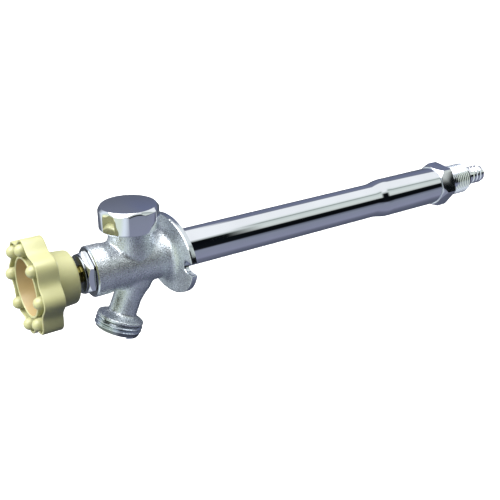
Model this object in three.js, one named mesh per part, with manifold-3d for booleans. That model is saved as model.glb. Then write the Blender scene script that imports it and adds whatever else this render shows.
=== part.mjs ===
// A frost-free, anti-siphon wall hose bib, built as an assembly of separate pieces.
// Millimetres. The barrel lies along Y: the wall face of the flange is y = 0, the handle is
// towards -Y, the pipe end is towards +Y and the vacuum breaker points up, +Z.
import * as THREE from "three";
import { mergeVertices } from "three/addons/utils/BufferGeometryUtils.js";
import Module from "manifold-3d";

const wasm = await Module();
wasm.setup();

// ---- Clearances and fineness ----
const CLEARANCE = 0.3;
const FINE = 32; // facets round a large diameter
const COARSE = 20; // facets round a small diameter
const LEAST = 12; // facets round a bead, a vent or the end of a slot
const ROUND_STEPS = 4; // steps along a rounded edge or a fillet
const OVERCUT = 1; // how far a cutter runs past the face that it opens

// ---- Valve motion ----
const STEM_TRAVEL = 6;
const POPPET_LIFT = 2.5;

// ---- Casting: barrel, flange, boss and spout ----
const BODY_REACH = 50; // wall face to front face
const BODY_WALL = 1.8; // round the tube's socket
const BODY_FLARE = 1; // how much wider the front face is than the waist
const BODY_WAIST_START = 30;
const BODY_EDGE = 0.7;
const FLANGE_THICKNESS = 3.3;
const FLANGE_HALF_WIDTH = 31;
const FLANGE_HALF_HEIGHT = 22.3;
const FLANGE_EDGE = 0.9;
const FLANGE_FILLET = 5;
const FLANGE_SLOT_HALF_WIDTH = 3.4;
const FLANGE_SLOT_DEPTH = 9.6; // from the flange's tip to the round end of the slot
const FLANGE_OUTLINE_STEPS = 24;
const FLANGE_EDGE_STEPS = 2;
const BREAKER_AXIS = 24.2; // wall face to the vacuum breaker's axis
const BOSS_RADIUS = 12.2;
const BOSS_HEIGHT = 24;
const BOSS_WALL = 3.1;
const BOSS_FOOT_FLARE = 2.8;
const BOSS_FOOT_DEPTH = 4; // from the top of the waist down to the foot's widest band
const BOSS_FOOT_BAND = 2.6;
const BOSS_FILLET_RISE = 3; // from the top of the waist up to the plain boss
const SPOUT_AXIS = 19.2; // where the spout's axis meets the barrel's, from the wall face
const SPOUT_TILT = THREE.MathUtils.degToRad(23.5);
const SPOUT_LENGTH = 42.7;
const SPOUT_NECK_RADIUS = 8;
const SPOUT_WALL = 2.4;
const SPOUT_FOOT_FLARE = 2.5;
const SPOUT_FILLET_FLARE = 1;
const SPOUT_FILLET_RISE = 4; // from the waist to the fillet's middle
const SPOUT_NECK_RISE = 9; // from the waist to the plain neck
const SPOUT_COLLAR_LENGTH = 4; // from the neck to the thread
const SPOUT_COLLAR_ROUND = 1.5;
const SPOUT_THREAD_LEAD = 1; // plain edge in front of the first ridge
const HOSE_THREAD_RADIUS = 13.45; // 3/4 inch garden hose thread
const HOSE_THREAD_DEPTH = 1.05;
const HOSE_THREAD_PITCH = 2.209;
const HOSE_THREAD_TURNS = 3;
const OUTLET_WALL = 3.25; // thread crest to the mouth's bore
const OUTLET_BORE_DEPTH = 6;
const CHAMBER_STEP = 1.3; // how much narrower the water chamber is than the tube
const PACKING_BORE_DEPTH = 6; // front face to the start of the stem's thread
const STEM_NUT_LENGTH = 11; // length of the casting's thread for the stem

// ---- Barrel tube ----
const TUBE_RADIUS = 11.1; // 7/8 inch tube
const TUBE_WALL = 1;
const TUBE_INSERT = 9;
const TUBE_END = 206.2;
const SWAGE_GROWTH = 1.6; // the same tube, swaged out to 1 inch
const SWAGE_LENGTH = 57.2; // start of the swage to the tube's end
const SWAGE_RISE = 13;
const SWAGE_STEPS = 6;

// ---- Inlet fitting ----
const INLET_HEX_FLATS = 26.5;
const INLET_HEX_LENGTH = 11.3;
const INLET_HEX_CHAMFER = 3.6;
const INLET_HEX_LAND = 0.2; // how far the chamfer starts inside the flats
const INLET_HEX_TURN = Math.PI / 6; // puts one flat on top
const INLET_SPIGOT_LENGTH = 12;
const INLET_SPIGOT_WALL = 1.8;
const PIPE_THREAD_RADIUS = 10.5; // 1/2 inch pipe thread
const PIPE_THREAD_DEPTH = 0.95;
const PIPE_THREAD_PITCH = 1.814;
const PIPE_THREAD_TURNS = 10;
const PIPE_THREAD_NECK = 3.2;
const BARB_RADIUS = 6.3; // 1/2 inch crimp barb
const BARB_GROOVE_DEPTH = 0.6;
const BARB_RINGS = 3;
const BARB_RING_PITCH = 3.6;
const BARB_LENGTH = 18.2;
const INLET_BORE_RADIUS = 4.3;
const SEAT_LIP_WALL = 1.3;
const SEAT_LIP_HEIGHT = 1.5;
const SEAT_DEPTH = 5; // from the spigot's open end to the seat lip

// ---- Packing nut and packing ----
const NUT_HEX_FLATS = 21.8;
const NUT_HEX_LENGTH = 3.9;
const NUT_NOSE_LENGTH = 1.4;
const NUT_SHANK_STEP = 1.4; // hexagon's flats to the shank
const NUT_SHANK_LENGTH = 5.7;
const NUT_SHANK_WALL = 1.6;
const NUT_FRONT_WALL = 2.6;
const PACKING_WASHER_LENGTH = 1;
const PACKING_RING_LENGTH = 3;

// ---- Stem ----
const STEM_RADIUS = 4.75;
const STEM_THREAD_STEP = 1.55; // plain stem to the thread's crest
const STEM_THREAD_DEPTH = 1;
const STEM_THREAD_LEAD = 3;
const STEM_THREAD_TURNS = 4;
const STEM_TAIL_STEP = 0.7; // thread's crest to the tail
const STEM_TAIL_LENGTH = 9;
const STEM_SQUARE = 6.4;
const ROD_SOCKET_WALL = 1.35;
const ROD_SOCKET_DEPTH = 12;
const ROD_BUTTON_STEP = 1.25;
const ROD_BUTTON_LENGTH = 1.5;
const ROD_GUIDE_PLACE = 104; // wall face to the middle of the guide
const ROD_GUIDE_LENGTH = 8;
const ROD_GUIDE_WALL = 1.4;
const ROD_GUIDE_FINS = 3;
const ROD_GUIDE_FIN_WIDTH = 2.4;

// ---- Seat washer and its swivel holder ----
const SEAT_WASHER_LENGTH = 3.5;
const SEAT_WASHER_BORE = 2.1;
const HOLDER_FLOW_GAP = 1.2; // between the holder and the spigot's bore
const HOLDER_RIM_WALL = 1;
const HOLDER_RIM = 1.8;
const HOLDER_WEB = 2.4;
const HOLDER_LIP = 1.3;
const WASHER_SCREW_HEAD_RADIUS = 3.3;
const WASHER_SCREW_HEAD_LENGTH = 1.6;
const WASHER_SCREW_RADIUS = 1.6;

// ---- Handle ----
const HANDLE_GAP = 4.2; // packing nut to the back of the hub, with the valve shut
const HANDLE_HUB_LENGTH = 24.6; // back of the hub to the rim
const HANDLE_HUB_BACK_RADIUS = 14.5;
const HANDLE_HUB_FLARE = 2.1;
const HANDLE_HUB_ROUND = 1.6;
const HANDLE_HUB_WALL = 1.3;
const HANDLE_FLOOR = 5;
const HANDLE_LOBES = 8;
const HANDLE_MEAN_RADIUS = 24.9;
const HANDLE_LOBE_DEPTH = 1.7;
const HANDLE_WALL = 1.4;
const HANDLE_SKIRT_LENGTH = 11.4;
const HANDLE_PLATE = 1.6;
const BEAD_INSET = 4; // lobed wall's mean radius to the circle of beads
const BEAD_RADIUS = 3.4;
const BEAD_PROUD = 3.6; // how far a bead stands out of the rim
const HANDLE_OUTLINE_STEPS = 64;
const SCREW_HEAD_RADIUS = 4.6;
const SCREW_HEAD_LENGTH = 2.6;
const SCREW_RADIUS = 2;
const SCREW_LENGTH = 9;
const SCREW_TAP_SPARE = 2; // how much deeper than the screw its hole is
const SCREW_SLOT_WIDTH = 1.2;
const SCREW_SLOT_DEPTH = 1.1;

// ---- Vacuum breaker ----
const CAP_DROP = 3.5; // top of the boss down to the cap's lower edge
const CAP_HEIGHT = 13;
const CAP_WALL = 2.7;
const CAP_TURN = THREE.MathUtils.degToRad(52); // about its own axis
const CAP_CORNER_STEP = 0.55; // how far the rounded corners stand out of the flats
const CAP_TOP_STEP = 0.9; // how far the top face stays inside the flats
const CAP_CHAMFER = 2;
const CAP_FOOT_EDGE = 0.8;
const CAP_ROOF = 2.2;
const CAP_AIR_GAP = 1.2;
const POPPET_SEAT_DEPTH = 11; // top of the boss down to the ledge that the poppet drops onto
const POPPET_SEAT_WIDTH = 2.3; // how far the disc overlaps the ledge
const POPPET_AIR_GAP = 1.2; // between the disc and the boss's bore
const POPPET_DISC_LENGTH = 1.7;
const POPPET_SKIRT_LENGTH = 2.8;
const POPPET_STEM_RADIUS = 1.9;
const POPPET_ROOF_GAP = 0.8; // lifted poppet's stem to the cap's roof
const POPPET_SEAL_STEP = 0.6; // disc's edge to the seal's edge
const POPPET_SEAL_LENGTH = 1.6;
const BONNET_FLANGE_STEP = 0.4; // boss's edge to the bonnet's edge
const BONNET_FLANGE_LENGTH = 1.8;
const BONNET_GUIDE_RADIUS = 3.6;
const BONNET_GUIDE_RISE = 1;
const BONNET_VENTS = 4;
const BONNET_VENT_RADIUS = 1.5;
const GASKET_LENGTH = 0.8;

// ---- Colours and finishes ----
const FINISHES = {
  cast: { color: 0xb4b9bf, roughness: 0.32, metalness: 1 },
  chrome: { color: 0xd9dbe2, roughness: 0.08, metalness: 1 },
  brass: { color: 0xc9a24a, roughness: 0.3, metalness: 1 },
  handle: { color: 0xd9d9a8, roughness: 0.35, metalness: 0 },
  rubber: { color: 0x1c1c1e, roughness: 0.8, metalness: 0 },
  graphite: { color: 0x2f3032, roughness: 0.6, metalness: 0 },
  nylon: { color: 0xe6e4dc, roughness: 0.45, metalness: 0 },
};

// ---- Solid helpers ----
function toSolid(geometry) {
  const bare = geometry.clone();
  bare.deleteAttribute("normal");
  bare.deleteAttribute("uv");
  const merged = mergeVertices(bare, 1e-4);
  const vertProperties = new Float32Array(merged.attributes.position.array);
  const triVerts = new Uint32Array(merged.index.array);
  return new wasm.Manifold(new wasm.Mesh({ numProp: 3, vertProperties, triVerts }));
}

function toGeometry(solid) {
  const made = solid.getMesh();
  const corners = new THREE.BufferAttribute(made.vertProperties, made.numProp);
  const geometry = new THREE.BufferGeometry().setAttribute("position", corners);
  return geometry.setIndex(new THREE.BufferAttribute(made.triVerts, 1));
}

function join(solids) {
  return solids.reduce((whole, piece) => whole.add(piece));
}

function cut(solid, cutters) {
  return cutters.reduce((whole, cutter) => whole.subtract(cutter), solid);
}

// A profile of [radius, y] points turned round the Y axis. It closes on itself, or on the axis.
function turned(profile, facets = FINE) {
  const points = profile.map(([radius, y]) => new THREE.Vector2(radius, y));
  if (THREE.ShapeUtils.isClockWise(points)) points.reverse();
  const touchesAxis = points.some((point) => point.x === 0);
  if (touchesAxis) {
    while (points[0].x !== 0 || points[points.length - 1].x !== 0) points.push(points.shift());
  } else {
    points.push(points[0].clone());
  }
  return new THREE.LatheGeometry(points, facets);
}

function rod(radius, from, to, facets = FINE) {
  return turned([[0, from], [radius, from], [radius, to], [0, to]], facets);
}

function ring(bore, radius, from, to, facets = FINE) {
  return turned([[bore, from], [radius, from], [radius, to], [bore, to]], facets);
}

// Points of an arc in a profile, given in degrees.
function arc(centreRadius, centreY, radius, fromDegrees, toDegrees) {
  const points = [];
  for (let i = 0; i <= ROUND_STEPS; i++) {
    const degrees = fromDegrees + ((toDegrees - fromDegrees) * i) / ROUND_STEPS;
    const angle = THREE.MathUtils.degToRad(degrees);
    points.push([centreRadius + radius * Math.cos(angle), centreY + radius * Math.sin(angle)]);
  }
  return points;
}

// Thread ridges as profile points, from one end of the thread to the other.
function ridges(start, pitch, turns, crest, depth) {
  const points = [];
  for (let i = 0; i < turns; i++) {
    points.push([crest - depth, start + i * pitch]);
    points.push([crest, start + (i + 0.5) * pitch]);
  }
  points.push([crest - depth, start + turns * pitch]);
  return points;
}

// The distance from a hexagon's axis to its corners.
function hexCorner(flats) {
  return flats / Math.sqrt(3);
}

// A hexagonal bar along Y. Two of its corners lie on the Z axis unless it is turned.
function hexBar(flats, from, to, turn = 0) {
  const bar = new THREE.CylinderGeometry(hexCorner(flats), hexCorner(flats), to - from, 6);
  bar.rotateY(turn);
  return bar.translate(0, (from + to) / 2, 0);
}

// ---- Frames that sub-parts are made in ----
function onBreakerAxis(geometry) {
  return geometry.rotateX(Math.PI / 2).translate(0, -BREAKER_AXIS, 0);
}

function onSpoutAxis(geometry) {
  return geometry.rotateX(-Math.PI / 2 - SPOUT_TILT).translate(0, -SPOUT_AXIS, 0);
}

// ---- Places worked out from the driving dimensions ----
const bodyWaistRadius = TUBE_RADIUS + CLEARANCE + BODY_WALL;
const bodyFrontRadius = bodyWaistRadius + BODY_FLARE;
const bodyFront = -BODY_REACH;
const chamberRadius = TUBE_RADIUS - CHAMBER_STEP;
const packingFloor = bodyFront + PACKING_BORE_DEPTH;
const chamberFront = packingFloor + STEM_NUT_LENGTH;
const swageRadius = TUBE_RADIUS + SWAGE_GROWTH;
const nutNoseRadius = NUT_HEX_FLATS / 2;
const nutShankRadius = nutNoseRadius - NUT_SHANK_STEP;
const nutCavityRadius = nutShankRadius - NUT_SHANK_WALL;
const stemThreadRadius = STEM_RADIUS + STEM_THREAD_STEP;
const stemTailRadius = stemThreadRadius - STEM_TAIL_STEP;
const rodRadius = stemTailRadius - ROD_SOCKET_WALL - CLEARANCE;
const rodButtonRadius = rodRadius + ROD_BUTTON_STEP;
const nutBack = bodyFront - CLEARANCE;
const nutHexFront = nutBack - NUT_HEX_LENGTH;
const nutFront = nutHexFront - NUT_NOSE_LENGTH;
const nutTail = nutBack + NUT_SHANK_LENGTH;
const packingBack = packingFloor - CLEARANCE;
const washerFront = packingBack - PACKING_WASHER_LENGTH;
const packingFront = washerFront - CLEARANCE - PACKING_RING_LENGTH;
const glandFront = nutFront + NUT_FRONT_WALL + CLEARANCE;
const stemBore = STEM_RADIUS + CLEARANCE;
const handleBack = nutFront - HANDLE_GAP;
const handleFloor = handleBack - HANDLE_FLOOR;
const handleRim = handleBack - HANDLE_HUB_LENGTH;
const squareFront = handleFloor + CLEARANCE;
const stemShoulder = handleBack + CLEARANCE;
const stemThreadFront = packingFloor + STEM_TRAVEL + CLEARANCE;
const stemThreadBack = stemThreadFront + STEM_THREAD_TURNS * STEM_THREAD_LEAD;
const spindleBack = stemThreadBack + STEM_TAIL_LENGTH;
const rodFront = spindleBack - ROD_SOCKET_DEPTH + CLEARANCE;
const inletFront = TUBE_END + CLEARANCE - INLET_SPIGOT_LENGTH;
const inletHexFront = TUBE_END + CLEARANCE;
const inletHexBack = inletHexFront + INLET_HEX_LENGTH;
const pipeThreadStart = inletHexBack + PIPE_THREAD_NECK;
const pipeThreadEnd = pipeThreadStart + PIPE_THREAD_TURNS * PIPE_THREAD_PITCH;
const inletEnd = pipeThreadEnd + BARB_LENGTH;
const spigotRadius = swageRadius - TUBE_WALL - CLEARANCE;
const spigotBore = spigotRadius - INLET_SPIGOT_WALL;
const holderRadius = spigotBore - HOLDER_FLOW_GAP;
const holderRimBore = holderRadius - HOLDER_RIM_WALL;
const seatFace = inletFront + SEAT_DEPTH;
const seatWasherBack = seatFace - CLEARANCE;
const seatWasherFront = seatWasherBack - SEAT_WASHER_LENGTH;
const holderWebBack = seatWasherFront - CLEARANCE;
const holderWebFront = holderWebBack - HOLDER_WEB;
const buttonBack = holderWebFront - CLEARANCE;
const buttonFront = buttonBack - ROD_BUTTON_LENGTH;
const holderLipBack = buttonFront - CLEARANCE;
const holderFront = holderLipBack - HOLDER_LIP;
const tubeBore = TUBE_RADIUS - TUBE_WALL;
const hubRimRadius = HANDLE_HUB_BACK_RADIUS + HANDLE_HUB_FLARE;
const hubRimInside = hubRimRadius - HANDLE_HUB_WALL;
const hubFloorInside = HANDLE_HUB_BACK_RADIUS - HANDLE_HUB_WALL;
const poppetChamberRadius = BOSS_RADIUS - BOSS_WALL;
const poppetDiscRadius = poppetChamberRadius - POPPET_AIR_GAP;
const poppetPortRadius = poppetDiscRadius - POPPET_SEAT_WIDTH;
const bonnetFlangeRadius = BOSS_RADIUS - BONNET_FLANGE_STEP;
const capBottom = BOSS_HEIGHT - CAP_DROP;
const capFlat = BOSS_RADIUS + CAP_AIR_GAP + CAP_WALL; // axis to a flat
const poppetSeat = BOSS_HEIGHT - POPPET_SEAT_DEPTH;
const gasketBottom = BOSS_HEIGHT + CLEARANCE;
const bonnetFlangeBottom = gasketBottom + GASKET_LENGTH + CLEARANCE;
const bonnetFlangeTop = bonnetFlangeBottom + BONNET_FLANGE_LENGTH;
const poppetBottom = poppetSeat + CLEARANCE;
const poppetDiscTop = poppetBottom + POPPET_DISC_LENGTH;
const sealTop = poppetDiscTop + CLEARANCE + POPPET_SEAL_LENGTH;
const bonnetBottom = sealTop + POPPET_LIFT + CLEARANCE;
const capTop = capBottom + CAP_HEIGHT;
const capRoof = capTop - CAP_ROOF;
const poppetStemTop = capRoof - POPPET_LIFT - POPPET_ROOF_GAP;

// ---- Casting ----
function flangePlate() {
  const outline = new THREE.Shape();
  const halfWidth = FLANGE_HALF_WIDTH - FLANGE_EDGE;
  const halfHeight = FLANGE_HALF_HEIGHT - FLANGE_EDGE;
  outline.absellipse(0, 0, halfWidth, halfHeight, 0, 2 * Math.PI);
  const plate = new THREE.ExtrudeGeometry(outline, {
    depth: FLANGE_THICKNESS - FLANGE_EDGE,
    curveSegments: FLANGE_OUTLINE_STEPS,
    bevelThickness: FLANGE_EDGE,
    bevelSize: FLANGE_EDGE,
    bevelSegments: FLANGE_EDGE_STEPS,
  });
  // The bevel's outer half is kept in front, and its inner half is trimmed off at the wall face.
  plate.rotateX(Math.PI / 2);
  const behindWall = new THREE.BoxGeometry(3 * FLANGE_HALF_WIDTH, 2 * OVERCUT, 3 * FLANGE_HALF_WIDTH);
  behindWall.translate(0, OVERCUT, 0);
  return toSolid(plate).subtract(toSolid(behindWall));
}

function flangeSlot(side) {
  const slot = new THREE.Shape();
  const endCentre = FLANGE_HALF_WIDTH - FLANGE_SLOT_DEPTH + FLANGE_SLOT_HALF_WIDTH;
  slot.moveTo(FLANGE_HALF_WIDTH + OVERCUT, -FLANGE_SLOT_HALF_WIDTH);
  slot.lineTo(FLANGE_HALF_WIDTH + OVERCUT, FLANGE_SLOT_HALF_WIDTH);
  slot.absarc(endCentre, 0, FLANGE_SLOT_HALF_WIDTH, Math.PI / 2, (3 * Math.PI) / 2);
  const cutter = new THREE.ExtrudeGeometry(slot, {
    depth: FLANGE_THICKNESS + 2 * OVERCUT,
    bevelEnabled: false,
    curveSegments: LEAST,
  });
  cutter.rotateX(Math.PI / 2).translate(0, OVERCUT, 0);
  return toSolid(side > 0 ? cutter : cutter.rotateY(Math.PI));
}

function barrelForm() {
  const filletCentre = -FLANGE_THICKNESS - FLANGE_FILLET;
  return turned([
    [0, bodyFront],
    [bodyFrontRadius - BODY_EDGE, bodyFront],
    [bodyFrontRadius, bodyFront + BODY_EDGE],
    [bodyWaistRadius, -BODY_WAIST_START],
    ...arc(bodyWaistRadius + FLANGE_FILLET, filletCentre, FLANGE_FILLET, 180, 90),
    [bodyWaistRadius + FLANGE_FILLET, -FLANGE_THICKNESS / 2],
    [0, -FLANGE_THICKNESS / 2],
  ]);
}

function bossForm() {
  const footTop = bodyWaistRadius - BOSS_FOOT_DEPTH;
  return onBreakerAxis(
    turned([
      [0, 0],
      [BOSS_RADIUS, 0],
      [BOSS_RADIUS + BOSS_FOOT_FLARE, footTop - BOSS_FOOT_BAND],
      [BOSS_RADIUS + BOSS_FOOT_FLARE, footTop],
      [BOSS_RADIUS, bodyWaistRadius + BOSS_FILLET_RISE],
      [BOSS_RADIUS, BOSS_HEIGHT],
      [0, BOSS_HEIGHT],
    ]),
  );
}

function spoutForm() {
  const threadStart = SPOUT_LENGTH - HOSE_THREAD_TURNS * HOSE_THREAD_PITCH - BODY_EDGE;
  const collarStart = threadStart - SPOUT_COLLAR_LENGTH;
  const threadRoot = HOSE_THREAD_RADIUS - HOSE_THREAD_DEPTH;
  return onSpoutAxis(
    turned([
      [0, 0],
      [SPOUT_NECK_RADIUS + SPOUT_FOOT_FLARE, 0],
      [SPOUT_NECK_RADIUS + SPOUT_FOOT_FLARE, bodyWaistRadius],
      [SPOUT_NECK_RADIUS + SPOUT_FILLET_FLARE, bodyWaistRadius + SPOUT_FILLET_RISE],
      [SPOUT_NECK_RADIUS, bodyWaistRadius + SPOUT_NECK_RISE],
      [SPOUT_NECK_RADIUS, collarStart],
      [SPOUT_NECK_RADIUS + SPOUT_COLLAR_ROUND, collarStart + SPOUT_COLLAR_ROUND],
      [HOSE_THREAD_RADIUS, threadStart - SPOUT_THREAD_LEAD],
      ...ridges(threadStart, HOSE_THREAD_PITCH, HOSE_THREAD_TURNS, HOSE_THREAD_RADIUS, HOSE_THREAD_DEPTH),
      [threadRoot, SPOUT_LENGTH],
      [0, SPOUT_LENGTH],
    ]),
  );
}

function bodyBores() {
  const tubeSeat = -TUBE_INSERT - CLEARANCE;
  const outletFloor = SPOUT_LENGTH - OUTLET_BORE_DEPTH;
  return [
    rod(nutShankRadius + CLEARANCE, bodyFront - OVERCUT, packingFloor),
    rod(stemThreadRadius + CLEARANCE, packingFloor - OVERCUT, chamberFront + OVERCUT),
    rod(chamberRadius, chamberFront, tubeSeat + OVERCUT),
    rod(TUBE_RADIUS + CLEARANCE, tubeSeat, OVERCUT),
    onBreakerAxis(rod(poppetPortRadius, 0, BOSS_HEIGHT)),
    onBreakerAxis(rod(poppetChamberRadius, poppetSeat, BOSS_HEIGHT + OVERCUT)),
    onSpoutAxis(rod(SPOUT_NECK_RADIUS - SPOUT_WALL, 0, SPOUT_LENGTH, COARSE)),
    onSpoutAxis(rod(HOSE_THREAD_RADIUS - OUTLET_WALL, outletFloor, SPOUT_LENGTH + OVERCUT)),
  ];
}

function bodyCasting() {
  const forms = [barrelForm(), bossForm(), spoutForm()].map(toSolid);
  const whole = join([flangePlate(), ...forms]);
  const cutters = [...bodyBores().map(toSolid), flangeSlot(1), flangeSlot(-1)];
  return cut(whole, cutters);
}

// ---- Barrel tube ----
function swageWall(radius, grown, start) {
  const points = [];
  for (let i = 0; i <= SWAGE_STEPS; i++) {
    const along = i / SWAGE_STEPS;
    const rise = (1 - Math.cos(Math.PI * along)) / 2;
    points.push([radius + (grown - radius) * rise, start + SWAGE_RISE * along]);
  }
  return points;
}

function barrelTube() {
  const swageStart = TUBE_END - SWAGE_LENGTH;
  const outside = swageWall(TUBE_RADIUS, swageRadius, swageStart);
  const inside = swageWall(tubeBore, swageRadius - TUBE_WALL, swageStart).reverse();
  return toSolid(
    turned([
      [TUBE_RADIUS, -TUBE_INSERT],
      ...outside,
      [swageRadius, TUBE_END],
      [swageRadius - TUBE_WALL, TUBE_END],
      ...inside,
      [tubeBore, -TUBE_INSERT],
    ]),
  );
}

// ---- Inlet fitting ----
function inletTurning() {
  const lipRadius = INLET_BORE_RADIUS + SEAT_LIP_WALL;
  const barbRoot = BARB_RADIUS - BARB_GROOVE_DEPTH;
  const barbStart = inletEnd - BODY_EDGE - BARB_RINGS * BARB_RING_PITCH;
  return turned([
    [spigotBore, inletFront],
    [spigotRadius, inletFront],
    [spigotRadius, inletHexFront],
    [INLET_HEX_FLATS / 2, inletHexFront],
    [INLET_HEX_FLATS / 2, inletHexBack],
    [PIPE_THREAD_RADIUS - PIPE_THREAD_DEPTH, inletHexBack],
    ...ridges(pipeThreadStart, PIPE_THREAD_PITCH, PIPE_THREAD_TURNS, PIPE_THREAD_RADIUS, PIPE_THREAD_DEPTH),
    [barbRoot, pipeThreadEnd],
    ...ridges(barbStart, BARB_RING_PITCH, BARB_RINGS, BARB_RADIUS, BARB_GROOVE_DEPTH),
    [barbRoot, inletEnd - BODY_EDGE / 2],
    [barbRoot - BODY_EDGE / 2, inletEnd],
    [INLET_BORE_RADIUS, inletEnd],
    [INLET_BORE_RADIUS, seatFace],
    [lipRadius, seatFace],
    [lipRadius, seatFace + SEAT_LIP_HEIGHT],
    [spigotBore, seatFace + SEAT_LIP_HEIGHT],
  ]);
}

function inletHex() {
  const corner = hexCorner(INLET_HEX_FLATS);
  const inside = INLET_BORE_RADIUS + SEAT_LIP_WALL;
  const trim = turned([
    [inside, inletHexFront],
    [INLET_HEX_FLATS / 2 - INLET_HEX_LAND, inletHexFront],
    [corner, inletHexFront + INLET_HEX_CHAMFER],
    [corner, inletHexBack - BODY_EDGE],
    [corner - BODY_EDGE, inletHexBack],
    [inside, inletHexBack],
  ]);
  const bar = hexBar(INLET_HEX_FLATS, inletHexFront, inletHexBack, INLET_HEX_TURN);
  return toSolid(bar).intersect(toSolid(trim));
}

function inletFitting() {
  return toSolid(inletTurning()).add(inletHex());
}

// ---- Packing nut and packing ----
function packingNut() {
  const corner = hexCorner(NUT_HEX_FLATS);
  const trim = turned([
    [0, nutBack],
    [corner - BODY_EDGE, nutBack],
    [corner, nutBack - BODY_EDGE],
    [corner, nutHexFront + NUT_NOSE_LENGTH],
    [nutNoseRadius, nutHexFront],
    [0, nutHexFront],
  ]);
  const hex = toSolid(hexBar(NUT_HEX_FLATS, nutHexFront, nutBack)).intersect(toSolid(trim));
  const nose = turned([
    [0, nutHexFront + OVERCUT],
    [nutNoseRadius, nutHexFront + OVERCUT],
    [nutNoseRadius, nutFront + BODY_EDGE],
    [nutNoseRadius - BODY_EDGE, nutFront],
    [0, nutFront],
  ]);
  const shank = rod(nutShankRadius, nutBack - OVERCUT, nutTail);
  const cavity = rod(nutCavityRadius, nutFront + NUT_FRONT_WALL, nutTail + OVERCUT);
  const bore = rod(stemBore, nutFront - OVERCUT, nutTail, COARSE);
  return cut(join([hex, toSolid(nose), toSolid(shank)]), [toSolid(cavity), toSolid(bore)]);
}

function packingPiece(from, to) {
  return toSolid(ring(stemBore, nutCavityRadius - CLEARANCE, from, to, COARSE));
}

// ---- Stem ----
function stemSpindle() {
  const shank = turned(
    [
      [0, stemShoulder],
      [STEM_RADIUS - BODY_EDGE, stemShoulder],
      [STEM_RADIUS, stemShoulder + BODY_EDGE],
      [STEM_RADIUS, stemThreadFront],
      ...ridges(stemThreadFront, STEM_THREAD_LEAD, STEM_THREAD_TURNS, stemThreadRadius, STEM_THREAD_DEPTH),
      [stemTailRadius, stemThreadBack],
      [stemTailRadius, spindleBack],
      [0, spindleBack],
    ],
    COARSE,
  );
  const square = new THREE.BoxGeometry(STEM_SQUARE, stemShoulder - squareFront + OVERCUT, STEM_SQUARE);
  square.translate(0, (stemShoulder + squareFront + OVERCUT) / 2, 0);
  const tapEnd = squareFront + SCREW_LENGTH + SCREW_TAP_SPARE;
  const tapped = rod(SCREW_RADIUS + CLEARANCE, squareFront - OVERCUT, tapEnd, COARSE);
  const socket = rod(rodRadius + CLEARANCE, spindleBack - ROD_SOCKET_DEPTH, spindleBack + OVERCUT, COARSE);
  return cut(join([toSolid(shank), toSolid(square)]), [toSolid(tapped), toSolid(socket)]);
}

function stemRod() {
  return toSolid(
    turned(
      [
        [0, rodFront],
        [rodRadius, rodFront],
        [rodRadius, buttonFront],
        [rodButtonRadius, buttonFront],
        [rodButtonRadius, buttonBack],
        [0, buttonBack],
      ],
      COARSE,
    ),
  );
}

function rodGuide() {
  const from = ROD_GUIDE_PLACE - ROD_GUIDE_LENGTH / 2;
  const to = ROD_GUIDE_PLACE + ROD_GUIDE_LENGTH / 2;
  const bore = rodRadius + CLEARANCE;
  const reach = tubeBore - 2 * CLEARANCE;
  const fins = [];
  for (let i = 0; i < ROD_GUIDE_FINS; i++) {
    const fin = new THREE.BoxGeometry(reach - bore, ROD_GUIDE_LENGTH, ROD_GUIDE_FIN_WIDTH);
    fin.translate(bore + (reach - bore) / 2, ROD_GUIDE_PLACE, 0);
    fins.push(toSolid(fin.rotateY((2 * Math.PI * i) / ROD_GUIDE_FINS)));
  }
  const hub = toSolid(ring(bore, bore + ROD_GUIDE_WALL, from, to, COARSE));
  return join([hub, ...fins]).subtract(toSolid(rod(bore, from - OVERCUT, to + OVERCUT, COARSE)));
}

// ---- Seat washer and its swivel holder ----
function seatWasherHolder() {
  const hollow = rodButtonRadius + CLEARANCE;
  return toSolid(
    turned([
      [rodRadius + CLEARANCE, holderFront],
      [holderRadius - HOLDER_LIP, holderFront],
      [holderRadius, holderLipBack],
      [holderRadius, holderWebBack + HOLDER_RIM],
      [holderRimBore, holderWebBack + HOLDER_RIM],
      [holderRimBore, holderWebBack],
      [WASHER_SCREW_RADIUS + CLEARANCE, holderWebBack],
      [WASHER_SCREW_RADIUS + CLEARANCE, holderWebFront],
      [hollow, holderWebFront],
      [hollow, holderLipBack],
      [rodRadius + CLEARANCE, holderLipBack],
    ]),
  );
}

function seatWasher() {
  return toSolid(ring(SEAT_WASHER_BORE, holderRimBore - CLEARANCE, seatWasherFront, seatWasherBack));
}

function washerScrew() {
  const headFront = seatWasherBack + CLEARANCE;
  const headBack = headFront + WASHER_SCREW_HEAD_LENGTH;
  const screw = turned(
    [
      [0, holderWebFront + CLEARANCE],
      [WASHER_SCREW_RADIUS, holderWebFront + CLEARANCE],
      [WASHER_SCREW_RADIUS, headFront],
      [WASHER_SCREW_HEAD_RADIUS, headFront],
      [WASHER_SCREW_HEAD_RADIUS, headBack - BODY_EDGE],
      [WASHER_SCREW_HEAD_RADIUS - BODY_EDGE, headBack],
      [0, headBack],
    ],
    COARSE,
  );
  return toSolid(screw).subtract(toSolid(screwSlot(headBack)));
}

function screwSlot(face, turn = 0) {
  const slot = new THREE.BoxGeometry(3 * SCREW_HEAD_RADIUS, 2 * SCREW_SLOT_DEPTH, SCREW_SLOT_WIDTH);
  return slot.rotateY(turn).translate(0, face, 0);
}

// ---- Handle ----
function lobedOutline(inset) {
  const points = [];
  for (let i = 0; i < HANDLE_OUTLINE_STEPS; i++) {
    const angle = (2 * Math.PI * i) / HANDLE_OUTLINE_STEPS;
    const radius = HANDLE_MEAN_RADIUS - inset + HANDLE_LOBE_DEPTH * Math.cos(HANDLE_LOBES * angle);
    points.push(new THREE.Vector2(radius * Math.cos(angle), radius * Math.sin(angle)));
  }
  return points;
}

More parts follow.
